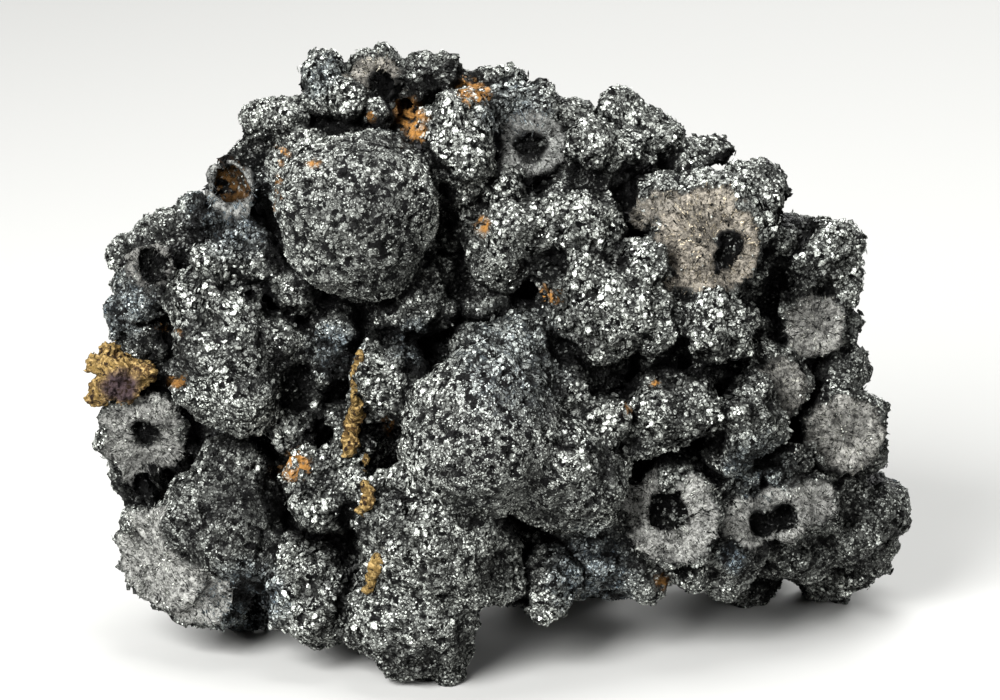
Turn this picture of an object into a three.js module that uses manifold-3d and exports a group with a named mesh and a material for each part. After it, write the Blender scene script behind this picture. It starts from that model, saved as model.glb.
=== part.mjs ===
// A botryoidal miargyrite specimen: dark metallic globes grown into one another round a solid
// middle, some of them broken open to their hollow hearts, with crusts of ochre in the gaps.
// Millimetres, +Z up, front towards -Y. The origin is on the ground under the middle of the piece.
import * as THREE from "three";
import { mergeVertices } from "three/addons/utils/BufferGeometryUtils.js";
import Module from "manifold-3d";

const wasm = await Module();
wasm.setup();

// Driving dimensions
const LOOK_DOWN = THREE.MathUtils.degToRad(16); // the front is set out as seen from this far above level
const VIEW_FROM = 694; // distance of the eye that sees it so
const AIM_HEIGHT = 38; // height of the point in the middle of that view
const HOLLOW_SINK = 0.15; // how far a hollow's centre lies behind the break, as a share of its radius
const SEAM_PROUD = 0.45; // how far a seam's grains stand out of the front, as a share of their radius
const SEAT_GAP = 0.35; // clear space between an ochre crust and the globes it sits on
const GROUND_CUT = 0.25; // the lowest lumps are worn flat by this much where the piece stands
const LUMPINESS = 0.055; // swell and hollow of a globe's surface, as a share of its radius
const MOVED = [-0.4, 1.2, -GROUND_CUT]; // puts the origin on the ground under the middle of the piece
const BLOCK = 200; // edge of the blocks that cut, larger than the piece
const LENGTH_COST = 1e-4; // makes the shorter of two flat edges close up first
const SLIVER = 2e-3; // twice the area of a facet too thin for the way it faces to matter
const SPECK = 1e-5; // twice the area under which a facet counts as gone
const MOST_TURN = 0.35; // cosine of the most that a facet may turn while an edge is closed up
const BACK_FROM = 8; // y from which the facets belong to the back,
const BACK_CARE = 0.3; // and how closely they follow its globes, as a share of the care in front
const SHARE_PER_PASS = 0.2; // share of the edges that one round of that looks at
const FACETS = 9200; // facets left on the cluster once the slivers between its globes are closed up
const CRUST_FACETS = 190; // the same for a crust of ochre

// Every row below is [across, up, fore, radius] as it looks in the front view: across and up lie in
// its plane, and fore is how far the centre stands out towards the viewer.

const CROWN = [
  [-21.9, 70.5, 2, 3.1],
  [-22.8, 67.6, 3, 2.5],
  [-19.2, 67.4, 6, 2.4],
  [-14.9, 66.4, 5, 2.7],
  [-10.0, 70.4, 3, 3.3],
  [-6.4, 71.3, 1, 2.6],
  [-2.5, 69.6, 1, 2.5],
  [0.6, 70.1, 1, 2.1],
  [1.6, 67.4, 3, 2.6],
  [5.4, 67.6, 2, 2.7],
  [9.1, 66.0, 2, 2.7],
  [11.3, 62.1, 6, 3.4],
  [15.0, 65.1, 1, 3.3],
  [19.1, 63.1, 1, 3.5],
  [15.6, 60.7, 4, 3.5],
  [23.1, 60.2, 2, 2.8],
  [27.0, 61.3, 1, 2.1],
  [12.6, 58.2, 6, 2.8],
];

const UPPER_LEFT = [
  [-18.0, 54.0, 13, 10.5],
  [-29.6, 47.4, 8, 4.2],
  [-32.0, 51.3, 6, 3.2],
  [-25.2, 44.4, 10, 3.4],
  [-34.4, 52.4, 5, 3.1],
  [-31.2, 61.3, 2, 2.8],
  [-29.8, 64.4, 2, 2.9],
  [-26.8, 65.4, 4, 3.1],
  [-38.1, 50.3, 1, 4.8],
  [-42.0, 50.1, 2, 3.7],
  [-45.4, 47.7, 3, 3.3],
  [-43.9, 43.6, 4, 3.3],
  [-35.6, 47.0, 8, 3.6],
  [-5.6, 62.4, 9, 5.6],
  [-6.9, 65.2, 10, 3.3],
  [-1.3, 66.7, 5, 3.2],
  [0.0, 57.2, 8, 2.6],
  [-5.0, 57.7, 7, 3.4],
];

const LEFT_FLANK = [
  [-34.4, 37.1, 11, 7.0],
  [-37.6, 42.6, 9, 4.6],
  [-32.4, 32.0, 13, 5.9],
  [-28.6, 37.2, 10, 4.9],
  [-36.8, 31.5, 12, 4.0],
  [-46.2, 40.6, -1, 3.3],
  [-43.8, 37.6, 3, 3.3],
  [-46.6, 20.6, 3, 2.9],
  [-44.8, 17.6, 4, 2.9],
  [-34.2, 14.4, 8, 8.4],
  [-33.8, 21.6, 7, 5.0],
  [-31.0, 10.6, 11, 4.6],
  [-33.8, 5.3, 8, 3.0],
];

const HEART = [
  [-2.7, 25.9, 21, 10.5],
  [7.5, 21.6, 19, 8.0],
  [2.5, 34.2, 15, 6.0],
  [8.2, 30.8, 15, 4.0],
  [-3.8, 37.0, 15, 3.0],
  [5.7, 37.0, 13, 3.1],
  [11.4, 17.8, 17, 4.0],
  [-8.7, 14.6, 19, 9.4],
  [-2.7, 9.4, 19, 5.2],
  [-13.1, 10.3, 19, 5.0],
  [-13.7, 32.5, 15, 5.7],
  [-21.2, 19.2, 15, 5.5],
  [-18.6, 23.6, 15, 2.9],
  [-19.3, 28.4, 12, 2.7],
  [-25.0, 27.7, 8, 4.5],
  [-21.2, 35.2, 10, 3.3],
  [-25.8, 32.2, 8, 3.2],
  [-20.5, 39.5, 9, 3.8],
  [-10.0, 42.6, 10, 5.0],
  [-12.8, 40.6, 12, 3.0],
  [-1.5, 42.7, 8, 4.0],
  [-6.2, 50.4, 5, 3.0],
  [-7.4, 45.9, 8, 2.7],
];

const RIGHT_OF_HEART = [
  [9.4, 52.0, 9, 6.0],
  [2.2, 50.2, 9, 6.2],
  [-2.4, 53.3, 7, 2.5],
  [12.5, 55.2, 8, 2.6],
  [13.1, 42.0, 13, 6.8],
  [11.2, 45.4, 13, 5.2],
  [17.5, 47.0, 13, 3.2],
  [19.4, 40.2, 13, 4.4],
  [7.7, 43.7, 12, 3.4],
  [5.6, 40.8, 11, 3.5],
  [12.3, 34.5, 11, 3.8],
  [20.0, 36.4, 10, 2.9],
  [26.2, 39.6, 12, 4.9],
  [30.0, 40.1, 12, 2.4],
  [22.2, 29.2, 15, 5.5],
  [17.5, 26.2, 15, 3.3],
  [17.4, 30.4, 14, 2.7],
  [30.6, 28.0, 12, 5.2],
  [29.3, 24.0, 12, 3.2],
  [12.1, 27.0, 16, 4.4],
  [13.2, 23.8, 16, 3.5],
  [21.5, 20.6, 12, 2.9],
  [29.9, 21.6, 8, 3.0],
  [35.6, 22.4, 8, 3.5],
  [29.6, 12.0, 9, 2.8],
];

const UNDERSIDE = [
  [-23.7, 6.6, 13, 6.5],
  [-26.2, 10.2, 13, 3.7],
  [-21.9, 3.1, 13, 3.2],
  [-18.4, 5.2, 14, 3.0],
  [-15.6, 2.3, 16, 4.1],
  [-11.0, 3.8, 17, 8.1],
  [-6.2, 5.4, 19, 3.9],
  [5.6, 7.2, 14, 4.5],
  [0.8, 5.8, 14, 2.4],
  [12.6, 10.3, 10, 4.0],
  [13.8, 7.4, 8, 2.4],
  [15.1, 13.4, 11, 2.8],
  [18.8, 9.0, 9, 3.3],
  [23.8, 9.8, 10, 3.3],
];

const RIGHT_FLANK = [
  [32.4, 56.7, 6, 3.7],
  [33.2, 58.6, 5, 1.9],
  [35.0, 55.8, 3, 2.4],
  [34.4, 50.9, 5, 2.9],
  [30.0, 58.4, 4, 2.1],
  [40.6, 49.1, 2, 4.5],
  [38.0, 46.4, 5, 3.0],
  [42.2, 44.4, 1, 3.3],
  [36.4, 43.2, 4, 2.3],
  [42.4, 39.5, 0, 3.4],
  [32.5, 36.4, 6, 2.8],
  [42.6, 33.9, 1, 3.8],
  [46.0, 28.2, -1, 2.8],
  [46.0, 23.8, -1, 2.8],
  [41.8, 20.2, -1, 3.7],
  [43.8, 15.8, -4, 7.0],
  [47.9, 15.2, -5, 3.4],
  [45.4, 10.9, -8, 4.2],
  [42.4, 10.6, -11, 4.6],
  [37.4, 12.4, -5, 4.9],
  [34.2, 12.8, -6, 4.7],
  [29.6, 8.0, -14, 3.3],
];

// The lumps that the piece stands on: [x, y, radius], each with another as large on top that ties
// it in
const FEET = [
  [-7.6, -16.0, 4.4],
  [-31.6, 1.5, 3.4],
  [32.6, 14.8, 4.6],
  [41.6, 14.8, 4.2],
  [-17.5, 18.5, 6.0],
  [9.5, 18.5, 6.0],
];

const FOOT_RISE = 0.88; // height of the first lump's centre, in radii, so that the ground cuts it flat
const LEG_RISE = 2.1; // the same for the second

// Globes broken open: their row, the way the break faces, how far from the centre it lies as a
// share of the radius, and the hollows in it as [across, up, radius] from the centre
const BROKEN = {
  great_break: {
    row: [26.0, 50.2, 9, 7.9],
    faces: [-0.1, -0.97, 0.1],
    at: 0.42,
    hollows: [[2.9, 0.2, 1.3], [2.4, -1.7, 0.9], [-2.8, 4.0, 0.6]],
  },
  ring: {
    row: [21.5, 15.9, 13, 6.6],
    faces: [-0.05, -0.95, 0.3],
    at: 0.35,
    hollows: [[-0.5, 0.4, 2.2]],
  },
  long_ring_near: {
    row: [31.4, 15.2, 10, 3.8],
    faces: [0.1, -0.95, 0.1],
    at: 0.3,
    hollows: [[1.2, -0.3, 1.3]],
  },
  long_ring_far: {
    row: [35.0, 16.3, 9, 4.1],
    faces: [0.1, -0.95, 0.1],
    at: 0.3,
    hollows: [[0.2, -0.4, 1.6]],
  },
  long_ring_tip: {
    row: [39.2, 17.8, 8, 3.3],
    faces: [0.1, -0.95, 0.1],
    at: 0.45,
    hollows: [],
  },
  star_break: {
    row: [-44.2, 26.2, 4, 6.0],
    faces: [-0.2, -0.95, 0.1],
    at: 0.3,
    hollows: [[0.3, 0.2, 1.5]],
  },
  left_vug: {
    row: [-33.2, 56.9, 5, 4.1],
    faces: [-0.35, -0.9, 0.15],
    at: 0.4,
    hollows: [[0, 0.4, 2.0]],
  },
  dark_vug: {
    row: [3.8, 62.4, 5, 4.9],
    faces: [0.1, -0.95, 0.2],
    at: 0.5,
    hollows: [[-0.2, -0.4, 1.8]],
  },
  crown_vug: {
    row: [-15.6, 69.8, 2, 4.6],
    faces: [0, -0.95, 0.2],
    at: 0.5,
    hollows: [[0.6, 0.2, 1.4]],
  },
  left_hollow: {
    row: [-43.6, 46.8, 5, 3.4],
    faces: [-0.1, -0.95, 0.2],
    at: 0.4,
    hollows: [[0.4, 0.2, 1.6]],
  },
  flank_break: {
    row: [-41.0, 11.0, 9, 7.3],
    faces: [-0.45, -0.89, -0.05],
    at: 0.35,
    hollows: [],
  },
  lip: {
    row: [19.6, 54.4, 9, 3.9],
    faces: [-0.1, -0.9, -0.3],
    at: 0.4,
    hollows: [],
  },
  grey_break: {
    row: [39.2, 39.6, 4, 4.5],
    faces: [0.1, -0.98, 0.1],
    at: 0.35,
    hollows: [],
  },
  shelf_break: {
    row: [42.8, 27.0, 4, 5.6],
    faces: [0.1, -0.97, -0.1],
    at: 0.4,
    hollows: [],
  },
  column_break: {
    row: [34.6, 32.2, 7, 4.4],
    faces: [0.2, -0.95, 0.1],
    at: 0.45,
    hollows: [],
  },
  flank_break_low: {
    row: [-37.4, 6.8, 10, 5.4],
    faces: [-0.4, -0.9, -0.1],
    at: 0.4,
    hollows: [],
  },
};

// The solid middle that carries the globes: [x, y, z] and [half-width, half-depth, half-height]
const MIDDLE = [
  { at: [-12, 4, 43], half: [24, 13, 22] },
  { at: [16, 4, 41], half: [22, 13, 18] },
  { at: [-14, 0, 61], half: [16, 7, 10] },
  { at: [9, 0, 58], half: [16, 7, 8] },
  { at: [27, 0, 52], half: [12, 6, 7] },
  { at: [-20, 3, 21], half: [18, 12, 12] },
  { at: [6, 4, 25], half: [20, 12, 11] },
  { at: [17, -6, 20], half: [14, 9, 8] },
  { at: [8, -5, 12.5], half: [15, 7, 4.5] },
  { at: [32, 7, 24], half: [13, 11, 15] },
];

// Globes of the hidden back, in level rows: height, how many, x of the row's middle, half its
// width, how far back its middle stands, and the globes' radius
const BACK_ROWS = [
  { z: 61, count: 4, middle: -4, halfWidth: 17, back: 11, radius: 6.2 },
  { z: 51, count: 5, middle: -3, halfWidth: 28, back: 17, radius: 7.2 },
  { z: 39, count: 6, middle: -2, halfWidth: 36, back: 20, radius: 8.2 },
  { z: 26, count: 5, middle: 0, halfWidth: 37, back: 20, radius: 8.4 },
  { z: 14, count: 5, middle: 1, halfWidth: 34, back: 17, radius: 7.6 },
];
// Behind a lump of the edge stands another, larger and nearer the middle of the view
const EDGE_FORE = 6.5; // lumps that stand out less than this belong to the edge,
const EDGE_BEHIND = -7; // and those behind this have their own place at the back
const EDGE_RADIUS = 4.9; // and they are smaller than this
const EDGE_BACK = 3.2; // how far behind it the other stands, in radii
const EDGE_DRAW = 0.9; // its place in the view, as a share of the way out from the middle
const EDGE_GROWTH = 1.35; // its radius, as a share of the first one's
const VIEW_MIDDLE = [0, 36]; // across and up

// Lumps of the underside: how many across and deep, the first one's x and y, the steps, and radius
const UNDER = { across: 5, deep: 3, first: [-26, -7], step: [14, 9], height: 12.5, radius: 5.6 };

const BACK_CURVE = 15; // how much nearer the ends of a back row stand than its middle
const BACK_STAGGER = 0.3; // sideways shift of every other row, as a share of the spacing
const BACK_STRAY = 5; // how far a globe of the back strays from its place, up or sideways
const BACK_RADII = [0.72, 1.22]; // least and most radius of such a globe, as a share of its row's
const BUD_RADIUS = 0.5; // each has a bud: its radius, as a share of the globe's,
const BUD_OUT = 0.8; // how far off the globe's middle it sits,
const BUD_BACK = 0.5; // and how far behind, both in the globe's radii

// Chunks of ochre between the globes of the left edge, and the ochre that fills three of the
// seams in front: [across, up, radius] along each, lying on whatever stands there
const KNOB = [
  [-49.0, 36.3, 5, 1.3],
  [-49.9, 34.7, 5, 1.8],
  [-47.8, 33.8, 6, 2.4],
  [-45.4, 33.4, 6, 2.0],
  [-48.8, 32.2, 5, 2.1],
  [-46.5, 32.0, 6, 1.9],
  [-50.2, 30.9, 5, 1.3],
  [-44.1, 33.8, 7, 1.1],
];
const UPPER_SEAM = [
  [-17.4, 35.9, 0.8],
  [-17.8, 33.7, 0.9],
  [-18.3, 31.4, 0.9],
  [-18.0, 29.2, 0.9],
  [-18.5, 27.1, 1.2],
  [-18.8, 25.0, 1.1],
  [-18.9, 23.2, 0.8],
];
const LOWER_SEAM = [
  [-15.8, 24.4, 0.8],
  [-16.7, 22.8, 0.8],
  [-17.2, 20.9, 0.8],
  [-16.5, 18.8, 0.9],
  [-16.7, 17.4, 0.9],
  [-17.5, 16.3, 0.8],
];
const FOOT_SEAM = [
  [-15.4, 10.1, 0.8],
  [-15.9, 8.4, 0.9],
  [-16.6, 6.5, 0.8],
];

const GREY = { color: 0x55585b, roughness: 0.45, metalness: 0.8 };
const OCHRE = { color: 0xa9762c, roughness: 0.9, metalness: 0 };

// A repeatable number from 0 to 1 for a whole number.
function chance(n) {
  const x = Math.sin(n * 127.1 + 11.7) * 43758.5453;
  return x - Math.floor(x);
}

// A row's globe as it is in the piece, with its centre and radius. What stands nearer to the eye
// looks larger than it is, and is drawn in by as much.
function inPiece([across, up, fore, radius = 0]) {
  const level = (up + fore * Math.sin(LOOK_DOWN)) / Math.cos(LOOK_DOWN);
  const nearer = fore * Math.cos(LOOK_DOWN) + (level - AIM_HEIGHT) * Math.sin(LOOK_DOWN);
  const shrink = 1 - nearer / VIEW_FROM;
  const aimUp = AIM_HEIGHT * Math.cos(LOOK_DOWN);
  const trueUp = aimUp + (up - aimUp) * shrink;
  const z = (trueUp + fore * Math.sin(LOOK_DOWN)) / Math.cos(LOOK_DOWN);
  return { centre: new THREE.Vector3(across * shrink, -fore, z), radius: radius * shrink };
}

function solidFrom(geometry) {
  geometry.deleteAttribute("normal");
  geometry.deleteAttribute("uv");
  const merged = mergeVertices(geometry, 1e-4);
  return new wasm.Manifold(
    new wasm.Mesh({
      numProp: 3,
      vertProperties: merged.attributes.position.array,
      triVerts: new Uint32Array(merged.index.array),
    }),
  );
}

// How finely a globe is divided: facets are about as large on every one, so a small one has few.
function finenessFor(radius) {
  if (radius > 7.2) return 3;
  if (radius > 3.6) return 2;
  return 1;
}

// A globe whose surface swells and sinks a little, turned its own way.
function globe(centre, radius, seed, fineness = finenessFor(radius)) {
  const geometry = new THREE.IcosahedronGeometry(1, fineness);
  const points = geometry.attributes.position;
  const p = new THREE.Vector3();
  const phase = [chance(seed), chance(seed + 0.3), chance(seed + 0.6)].map((c) => c * 2 * Math.PI);
  for (let i = 0; i < points.count; i++) {
    p.fromBufferAttribute(points, i);
    const swell =
      Math.sin(4.1 * p.x + phase[0]) + Math.sin(5.3 * p.y + phase[1]) + Math.sin(4.7 * p.z + phase[2]);
    p.multiplyScalar(1 + (LUMPINESS * swell) / 1.5);
    points.setXYZ(i, p.x, p.y, p.z);
  }
  geometry.rotateZ(phase[0]);
  geometry.rotateX(phase[1]);
  geometry.scale(radius, radius, radius);
  geometry.translate(centre.x, centre.y, centre.z);
  return solidFrom(geometry);
}

function ellipsoid({ at, half }) {
  const geometry = new THREE.IcosahedronGeometry(1, 3);
  geometry.scale(...half);
  geometry.translate(...at);
  return solidFrom(geometry);
}

// A block whose face looks the given way from the given point; it holds all that lies beyond.
function beyond(point, facing) {
  const geometry = new THREE.BoxGeometry(BLOCK, BLOCK, BLOCK);
  geometry.translate(0, 0, BLOCK / 2);
  const turn = new THREE.Quaternion().setFromUnitVectors(new THREE.Vector3(0, 0, 1), facing);
  geometry.applyQuaternion(turn);
  geometry.translate(point.x, point.y, point.z);
  return solidFrom(geometry);
}

function brokenGlobe({ row, faces, at }, seed) {
  const { centre, radius } = inPiece(row);
  const facing = new THREE.Vector3(...faces).normalize();
  const cut = centre.clone().addScaledVector(facing, radius * at);
  return globe(centre, radius, seed).subtract(beyond(cut, facing));
}

// The hollows of a broken globe, each a small ball sunk in the break.
function hollowsOf({ row, faces, at, hollows }, seed) {
  const [across, up, fore, breadth] = row;
  const facing = new THREE.Vector3(...faces).normalize();
  return hollows.map(([dx, dUp, r], i) => {
    const { centre } = inPiece([across + dx, up + dUp, fore, r]);
    return globe(centre.addScaledVector(facing, breadth * at - HOLLOW_SINK * r), r, seed + i, 1);
  });
}

function feetGlobes() {
  return FEET.flatMap(([x, y, radius]) => {
    const foot = new THREE.Vector3(x, y, radius * FOOT_RISE);
    const leg = foot.clone().setZ(radius * LEG_RISE);
    return [foot, leg].map((centre) => ({ centre, radius }));
  });
}

function edgeGlobes() {
  const edge = SHOWN.filter(
    ([, , fore, radius]) => fore < EDGE_FORE && fore > EDGE_BEHIND && radius < EDGE_RADIUS,
  );
  return edge.map(([across, up, fore, radius]) =>
    inPiece([
      THREE.MathUtils.lerp(VIEW_MIDDLE[0], across, EDGE_DRAW),
      THREE.MathUtils.lerp(VIEW_MIDDLE[1], up, EDGE_DRAW),
      fore - EDGE_BACK * radius,
      radius * EDGE_GROWTH,
    ]),
  );
}

function underGlobes() {
  const made = [];
  for (let i = 0; i < UNDER.across * UNDER.deep; i++) {
    const column = i % UNDER.across;
    const row = Math.floor(i / UNDER.across);
    const x = UNDER.first[0] + UNDER.step[0] * (column + 0.5 * (row % 2) + 0.4 * (chance(i + 60) - 0.5));
    const y = UNDER.first[1] + UNDER.step[1] * row;
    const radius = UNDER.radius * (0.85 + 0.3 * chance(i + 80));
    made.push({ centre: new THREE.Vector3(x, y, UNDER.height + 2 * chance(i + 90)), radius });
  }
  return made;
}

function backGlobes() {
  const made = [];
  BACK_ROWS.forEach(({ z, count, middle, halfWidth, back, radius: usual }, row) => {
    for (let i = 0; i < count; i++) {
      const seed = 31 * row + i;
      const along = (2 * i) / (count - 1) - 1;
      const stagger = (row % 2 ? 1 : -1) * BACK_STAGGER * (halfWidth / count);
      const x = middle + along * halfWidth + stagger + BACK_STRAY * (chance(seed + 0.25) - 0.5);
      const y = back - BACK_CURVE * along * along;
      const height = z + BACK_STRAY * (chance(seed + 0.5) - 0.5);
      const radius = usual * THREE.MathUtils.lerp(...BACK_RADII, chance(seed));
      const turn = 2 * Math.PI * chance(seed + 0.75);
      const bud = new THREE.Vector3(BUD_OUT * Math.cos(turn), BUD_BACK, BUD_OUT * Math.sin(turn));
      const centre = new THREE.Vector3(x, y, height);
      made.push({ centre, radius });
      made.push({ centre: bud.multiplyScalar(radius).add(centre), radius: radius * BUD_RADIUS });
    }
  });
  return made;
}

// How far out towards the viewer the foremost globe reaches at a place in the front view.
function frontAt(across, up) {
  const reach = ([a, u, fore, radius]) => {
    const inside = radius * radius - (across - a) ** 2 - (up - u) ** 2;
    return inside > 0 ? fore + Math.sqrt(inside) : 0;
  };
  return Math.max(...[...SHOWN, ...Object.values(BROKEN).map(({ row }) => row)].map(reach));
}

// A seam's grains of ochre, proud of what stands there, with others between to bridge the gaps.
function seamSolid(points) {
  const marks = points.map(([across, up, radius]) =>
    inPiece([across, up, frontAt(across, up) + SEAM_PROUD * radius, radius]),
  );
  const grains = marks.slice(1).flatMap((mark, i) =>
    [0, 1 / 3, 2 / 3, 1].map((share) => ({
      centre: marks[i].centre.clone().lerp(mark.centre, share),
      radius: THREE.MathUtils.lerp(marks[i].radius, mark.radius, share),
    })),
  );
  return joined(grains.map(({ centre, radius }, i) => globe(centre, radius, 900 + i)));
}

function knobSolid() {
  return joined(KNOB.map(inPiece).map(({ centre, radius }, i) => globe(centre, radius, 950 + i)));
}

// What is left of a crust once it clears the cluster all round.
function clearOf(crust, cluster) {
  const shifts = new THREE.IcosahedronGeometry(SEAT_GAP * 1.25).attributes.position;
  let clear = crust;
  for (let i = 0; i < shifts.count; i++) {
    clear = clear.subtract(cluster.translate(shifts.getX(i), shifts.getY(i), shifts.getZ(i)));
  }
  return onePiece(clear);
}

function joined(solids) {
  return solids.reduce((whole, next) => whole.add(next));
}

// The piece without the bubbles shut in between its globes: the largest of its closed surfaces.
function onePiece(solid) {
  return solid.decompose().reduce((best, next) => (next.volume() > best.volume() ? next : best));
}

// The plane of a facet as sixteen sums, weighted by its area, and less at the back. Added up round
// a corner, they tell how far a point lies off all the planes that met there.
function planeSums(corners) {
  const normal = facingOf(corners);
  const weight = normal.length() * (corners[0].y > BACK_FROM ? BACK_CARE : 1);
  normal.normalize();
  const plane = [normal.x, normal.y, normal.z, -normal.dot(corners[0])];
  return plane.flatMap((p) => plane.map((q) => weight * p * q));
}

function offPlanes(sums, point) {
  const v = [point.x, point.y, point.z, 1];
  return sums.reduce((total, s, i) => total + s * v[i >> 2] * v[i & 3], 0);
}

// The same closed surface with fewer facets. Each pass closes up the edges that matter least, as
// long as the surface stays one sheet and no facet turns over.
function thinned(solid, facetCount) {
  const { vertProperties, triVerts } = solid.getMesh();
  const points = [];
  for (let i = 0; i < vertProperties.length; i += 3) {
    points.push(new THREE.Vector3().fromArray(vertProperties, i));
  }
  let facets = [];
  for (let i = 0; i < triVerts.length; i += 3) facets.push([...triVerts.subarray(i, i + 3)]);
  const sums = points.map(() => new Array(16).fill(0));
  for (const facet of facets) {
    const added = planeSums(facet.map((corner) => points[corner]));
    for (const corner of facet) added.forEach((s, i) => (sums[corner][i] += s));
  }
  for (let pass = 0; pass < 60 && facets.length > facetCount; pass++) {
    facets = closeEdges(points, sums, facets, facetCount);
  }
  return { points, facets };
}

function closeEdges(points, sums, facets, facetCount) {
  const facetsAt = points.map(() => []);
  facets.forEach((facet) => facet.forEach((corner) => facetsAt[corner].push(facet)));
  const edges = [];
  for (const [a, b, c] of facets) {
    for (const [from, to] of [[a, b], [b, c], [c, a]]) {
      if (from > to) continue;
      const both = sums[from].map((s, i) => s + sums[to][i]);
      const middle = points[from].clone().lerp(points[to], 0.5);
      const spots = [middle, points[from], points[to]];
      const costs = spots.map((spot) => offPlanes(both, spot));
      const cost = Math.min(...costs);
      const spot = spots[costs.indexOf(cost)].clone();
      edges.push({ from, to, spot, both, cost: cost + LENGTH_COST * points[from].distanceTo(points[to]) });
    }
  }
  edges.sort((one, other) => one.cost - other.cost);
  const touched = new Set();
  const gone = new Set();
  let left = facets.length;
  for (const { from, to, spot, both } of edges.slice(0, Math.ceil(edges.length * SHARE_PER_PASS))) {
    if (left <= facetCount) break;
    const round = new Set([...facetsAt[from], ...facetsAt[to]].flat());
    if ([...round].some((corner) => touched.has(corner))) continue;
    if (!canClose(points, facetsAt, from, to, spot)) continue;
    points[from].copy(spot);
    sums[from] = both;
    for (const facet of facetsAt[to]) {
      if (facet.includes(from)) gone.add(facet);
      else facet[facet.indexOf(to)] = from;
    }
    left -= 2;
    round.forEach((corner) => touched.add(corner));
  }
  return facets.filter((facet) => !gone.has(facet));
}

function canClose(points, facetsAt, from, to, spot) {
  const beside = (corner) => new Set(facetsAt[corner].flat());
  const shared = [...beside(from)].filter((corner) => beside(to).has(corner));
  if (shared.length !== 4) return false;
  for (const facet of [...facetsAt[from], ...facetsAt[to]]) {
    if (facet.includes(from) && facet.includes(to)) continue;
    const before = facet.map((corner) => points[corner]);
    const after = facet.map((corner) => (corner === from || corner === to ? spot : points[corner]));
    const old = facingOf(before);
    const turned = facingOf(after);
    if (turned.length() < SPECK) return false;
    if (old.length() > SLIVER && turned.normalize().dot(old.normalize()) < MOST_TURN) return false;
  }
  return true;
}

function facingOf([a, b, c]) {
  return new THREE.Vector3().crossVectors(b.clone().sub(a), c.clone().sub(a));
}

function meshFrom({ points, facets }, name, look) {
  const geometry = new THREE.BufferGeometry();
  const used = new Map([...new Set(facets.flat())].map((corner, i) => [corner, i]));
  const places = [...used.keys()].flatMap((corner) => points[corner].toArray());
  geometry.setAttribute("position", new THREE.Float32BufferAttribute(places, 3));
  geometry.setIndex(facets.flat().map((corner) => used.get(corner)));
  geometry.computeVertexNormals();
  const mesh = new THREE.Mesh(geometry, new THREE.MeshStandardMaterial({ ...look, flatShading: true }));
  mesh.name = name;
  mesh.position.set(...MOVED);
  return mesh;
}

const SHOWN = [CROWN, UPPER_LEFT, LEFT_FLANK, HEART, RIGHT_OF_HEART, UNDERSIDE, RIGHT_FLANK].flat();
const globes = [...SHOWN.map(inPiece), ...feetGlobes(), ...edgeGlobes(), ...underGlobes(), ...backGlobes()];
const ground = beyond(new THREE.Vector3(0, 0, GROUND_CUT), new THREE.Vector3(0, 0, -1));

function clusterSolid() {
  const whole = globes.map(({ centre, radius }, i) => globe(centre, radius, i + 1));
  const broken = Object.values(BROKEN).map((b, i) => brokenGlobe(b, 500 + i));
  const hollows = Object.values(BROKEN).flatMap((b, i) => hollowsOf(b, 700 + 10 * i));
  const mass = joined([...MIDDLE.map(ellipsoid), ...whole, ...broken]);
  return onePiece(mass.subtract(joined(hollows)).subtract(ground));
}

const piece = new THREE.Group();
const clusterFacets = thinned(clusterSolid(), FACETS);
const clusterMesh = meshFrom(clusterFacets, "miargyrite_cluster", GREY);
const cluster = solidFrom(clusterMesh.geometry.clone());
piece.add(clusterMesh);
for (const [name, crust] of [
  ["ochre_knob", knobSolid()],
  ["ochre_upper_seam", seamSolid(UPPER_SEAM)],
  ["ochre_lower_seam", seamSolid(LOWER_SEAM)],
  ["ochre_foot_seam", seamSolid(FOOT_SEAM)],
]) {
  piece.add(meshFrom(thinned(clearOf(crust, cluster), CRUST_FACETS), name, OCHRE));
}

export default piece;
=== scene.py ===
# %% [markdown]
# # A botryoidal miargyrite specimen
# A lump of dark metallic globes, grown into one another, whose skin is a crust of tiny platy
# crystals. Some globes are broken open and show grey fibres that run out from their hearts, and
# ochre fills a few seams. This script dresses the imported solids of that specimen.
#
# The solids hold the form from a step away. What the eye reads close up is the crust: more than a
# hundred thousand crystals, each shining or dark by the way it faces. A bump map can't give their
# rough outline, so the crust here is real mesh: one skin, and grains set into it. The plates and
# cracks finer than a grain are too many for a mesh, and the materials draw them.

# %% Frame
import itertools
import math

import bpy
import numpy as np
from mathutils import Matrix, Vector


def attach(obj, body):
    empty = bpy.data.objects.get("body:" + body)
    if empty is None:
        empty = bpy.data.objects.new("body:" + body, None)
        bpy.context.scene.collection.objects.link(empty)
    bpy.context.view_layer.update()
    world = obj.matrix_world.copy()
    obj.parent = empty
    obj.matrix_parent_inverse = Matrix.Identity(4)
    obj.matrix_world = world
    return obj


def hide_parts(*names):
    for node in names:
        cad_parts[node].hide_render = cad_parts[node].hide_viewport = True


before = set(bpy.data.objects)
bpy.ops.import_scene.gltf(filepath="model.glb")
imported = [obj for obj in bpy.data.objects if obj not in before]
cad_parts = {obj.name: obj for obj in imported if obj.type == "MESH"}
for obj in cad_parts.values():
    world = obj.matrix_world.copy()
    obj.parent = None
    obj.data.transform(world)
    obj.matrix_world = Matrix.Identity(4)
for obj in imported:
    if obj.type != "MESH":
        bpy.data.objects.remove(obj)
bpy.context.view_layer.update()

# %% [markdown]
# ## How the front was set out
# The specimen's front was laid out as it looks from a little above level: across and up in the
# plane of that view, and fore, how far a lump stands out to the viewer. The same three numbers and
# a radius make a globe both in the solids and here, so the two agree everywhere.
# All lengths below are in millimetres, and become metres only when a mesh is made.

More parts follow.
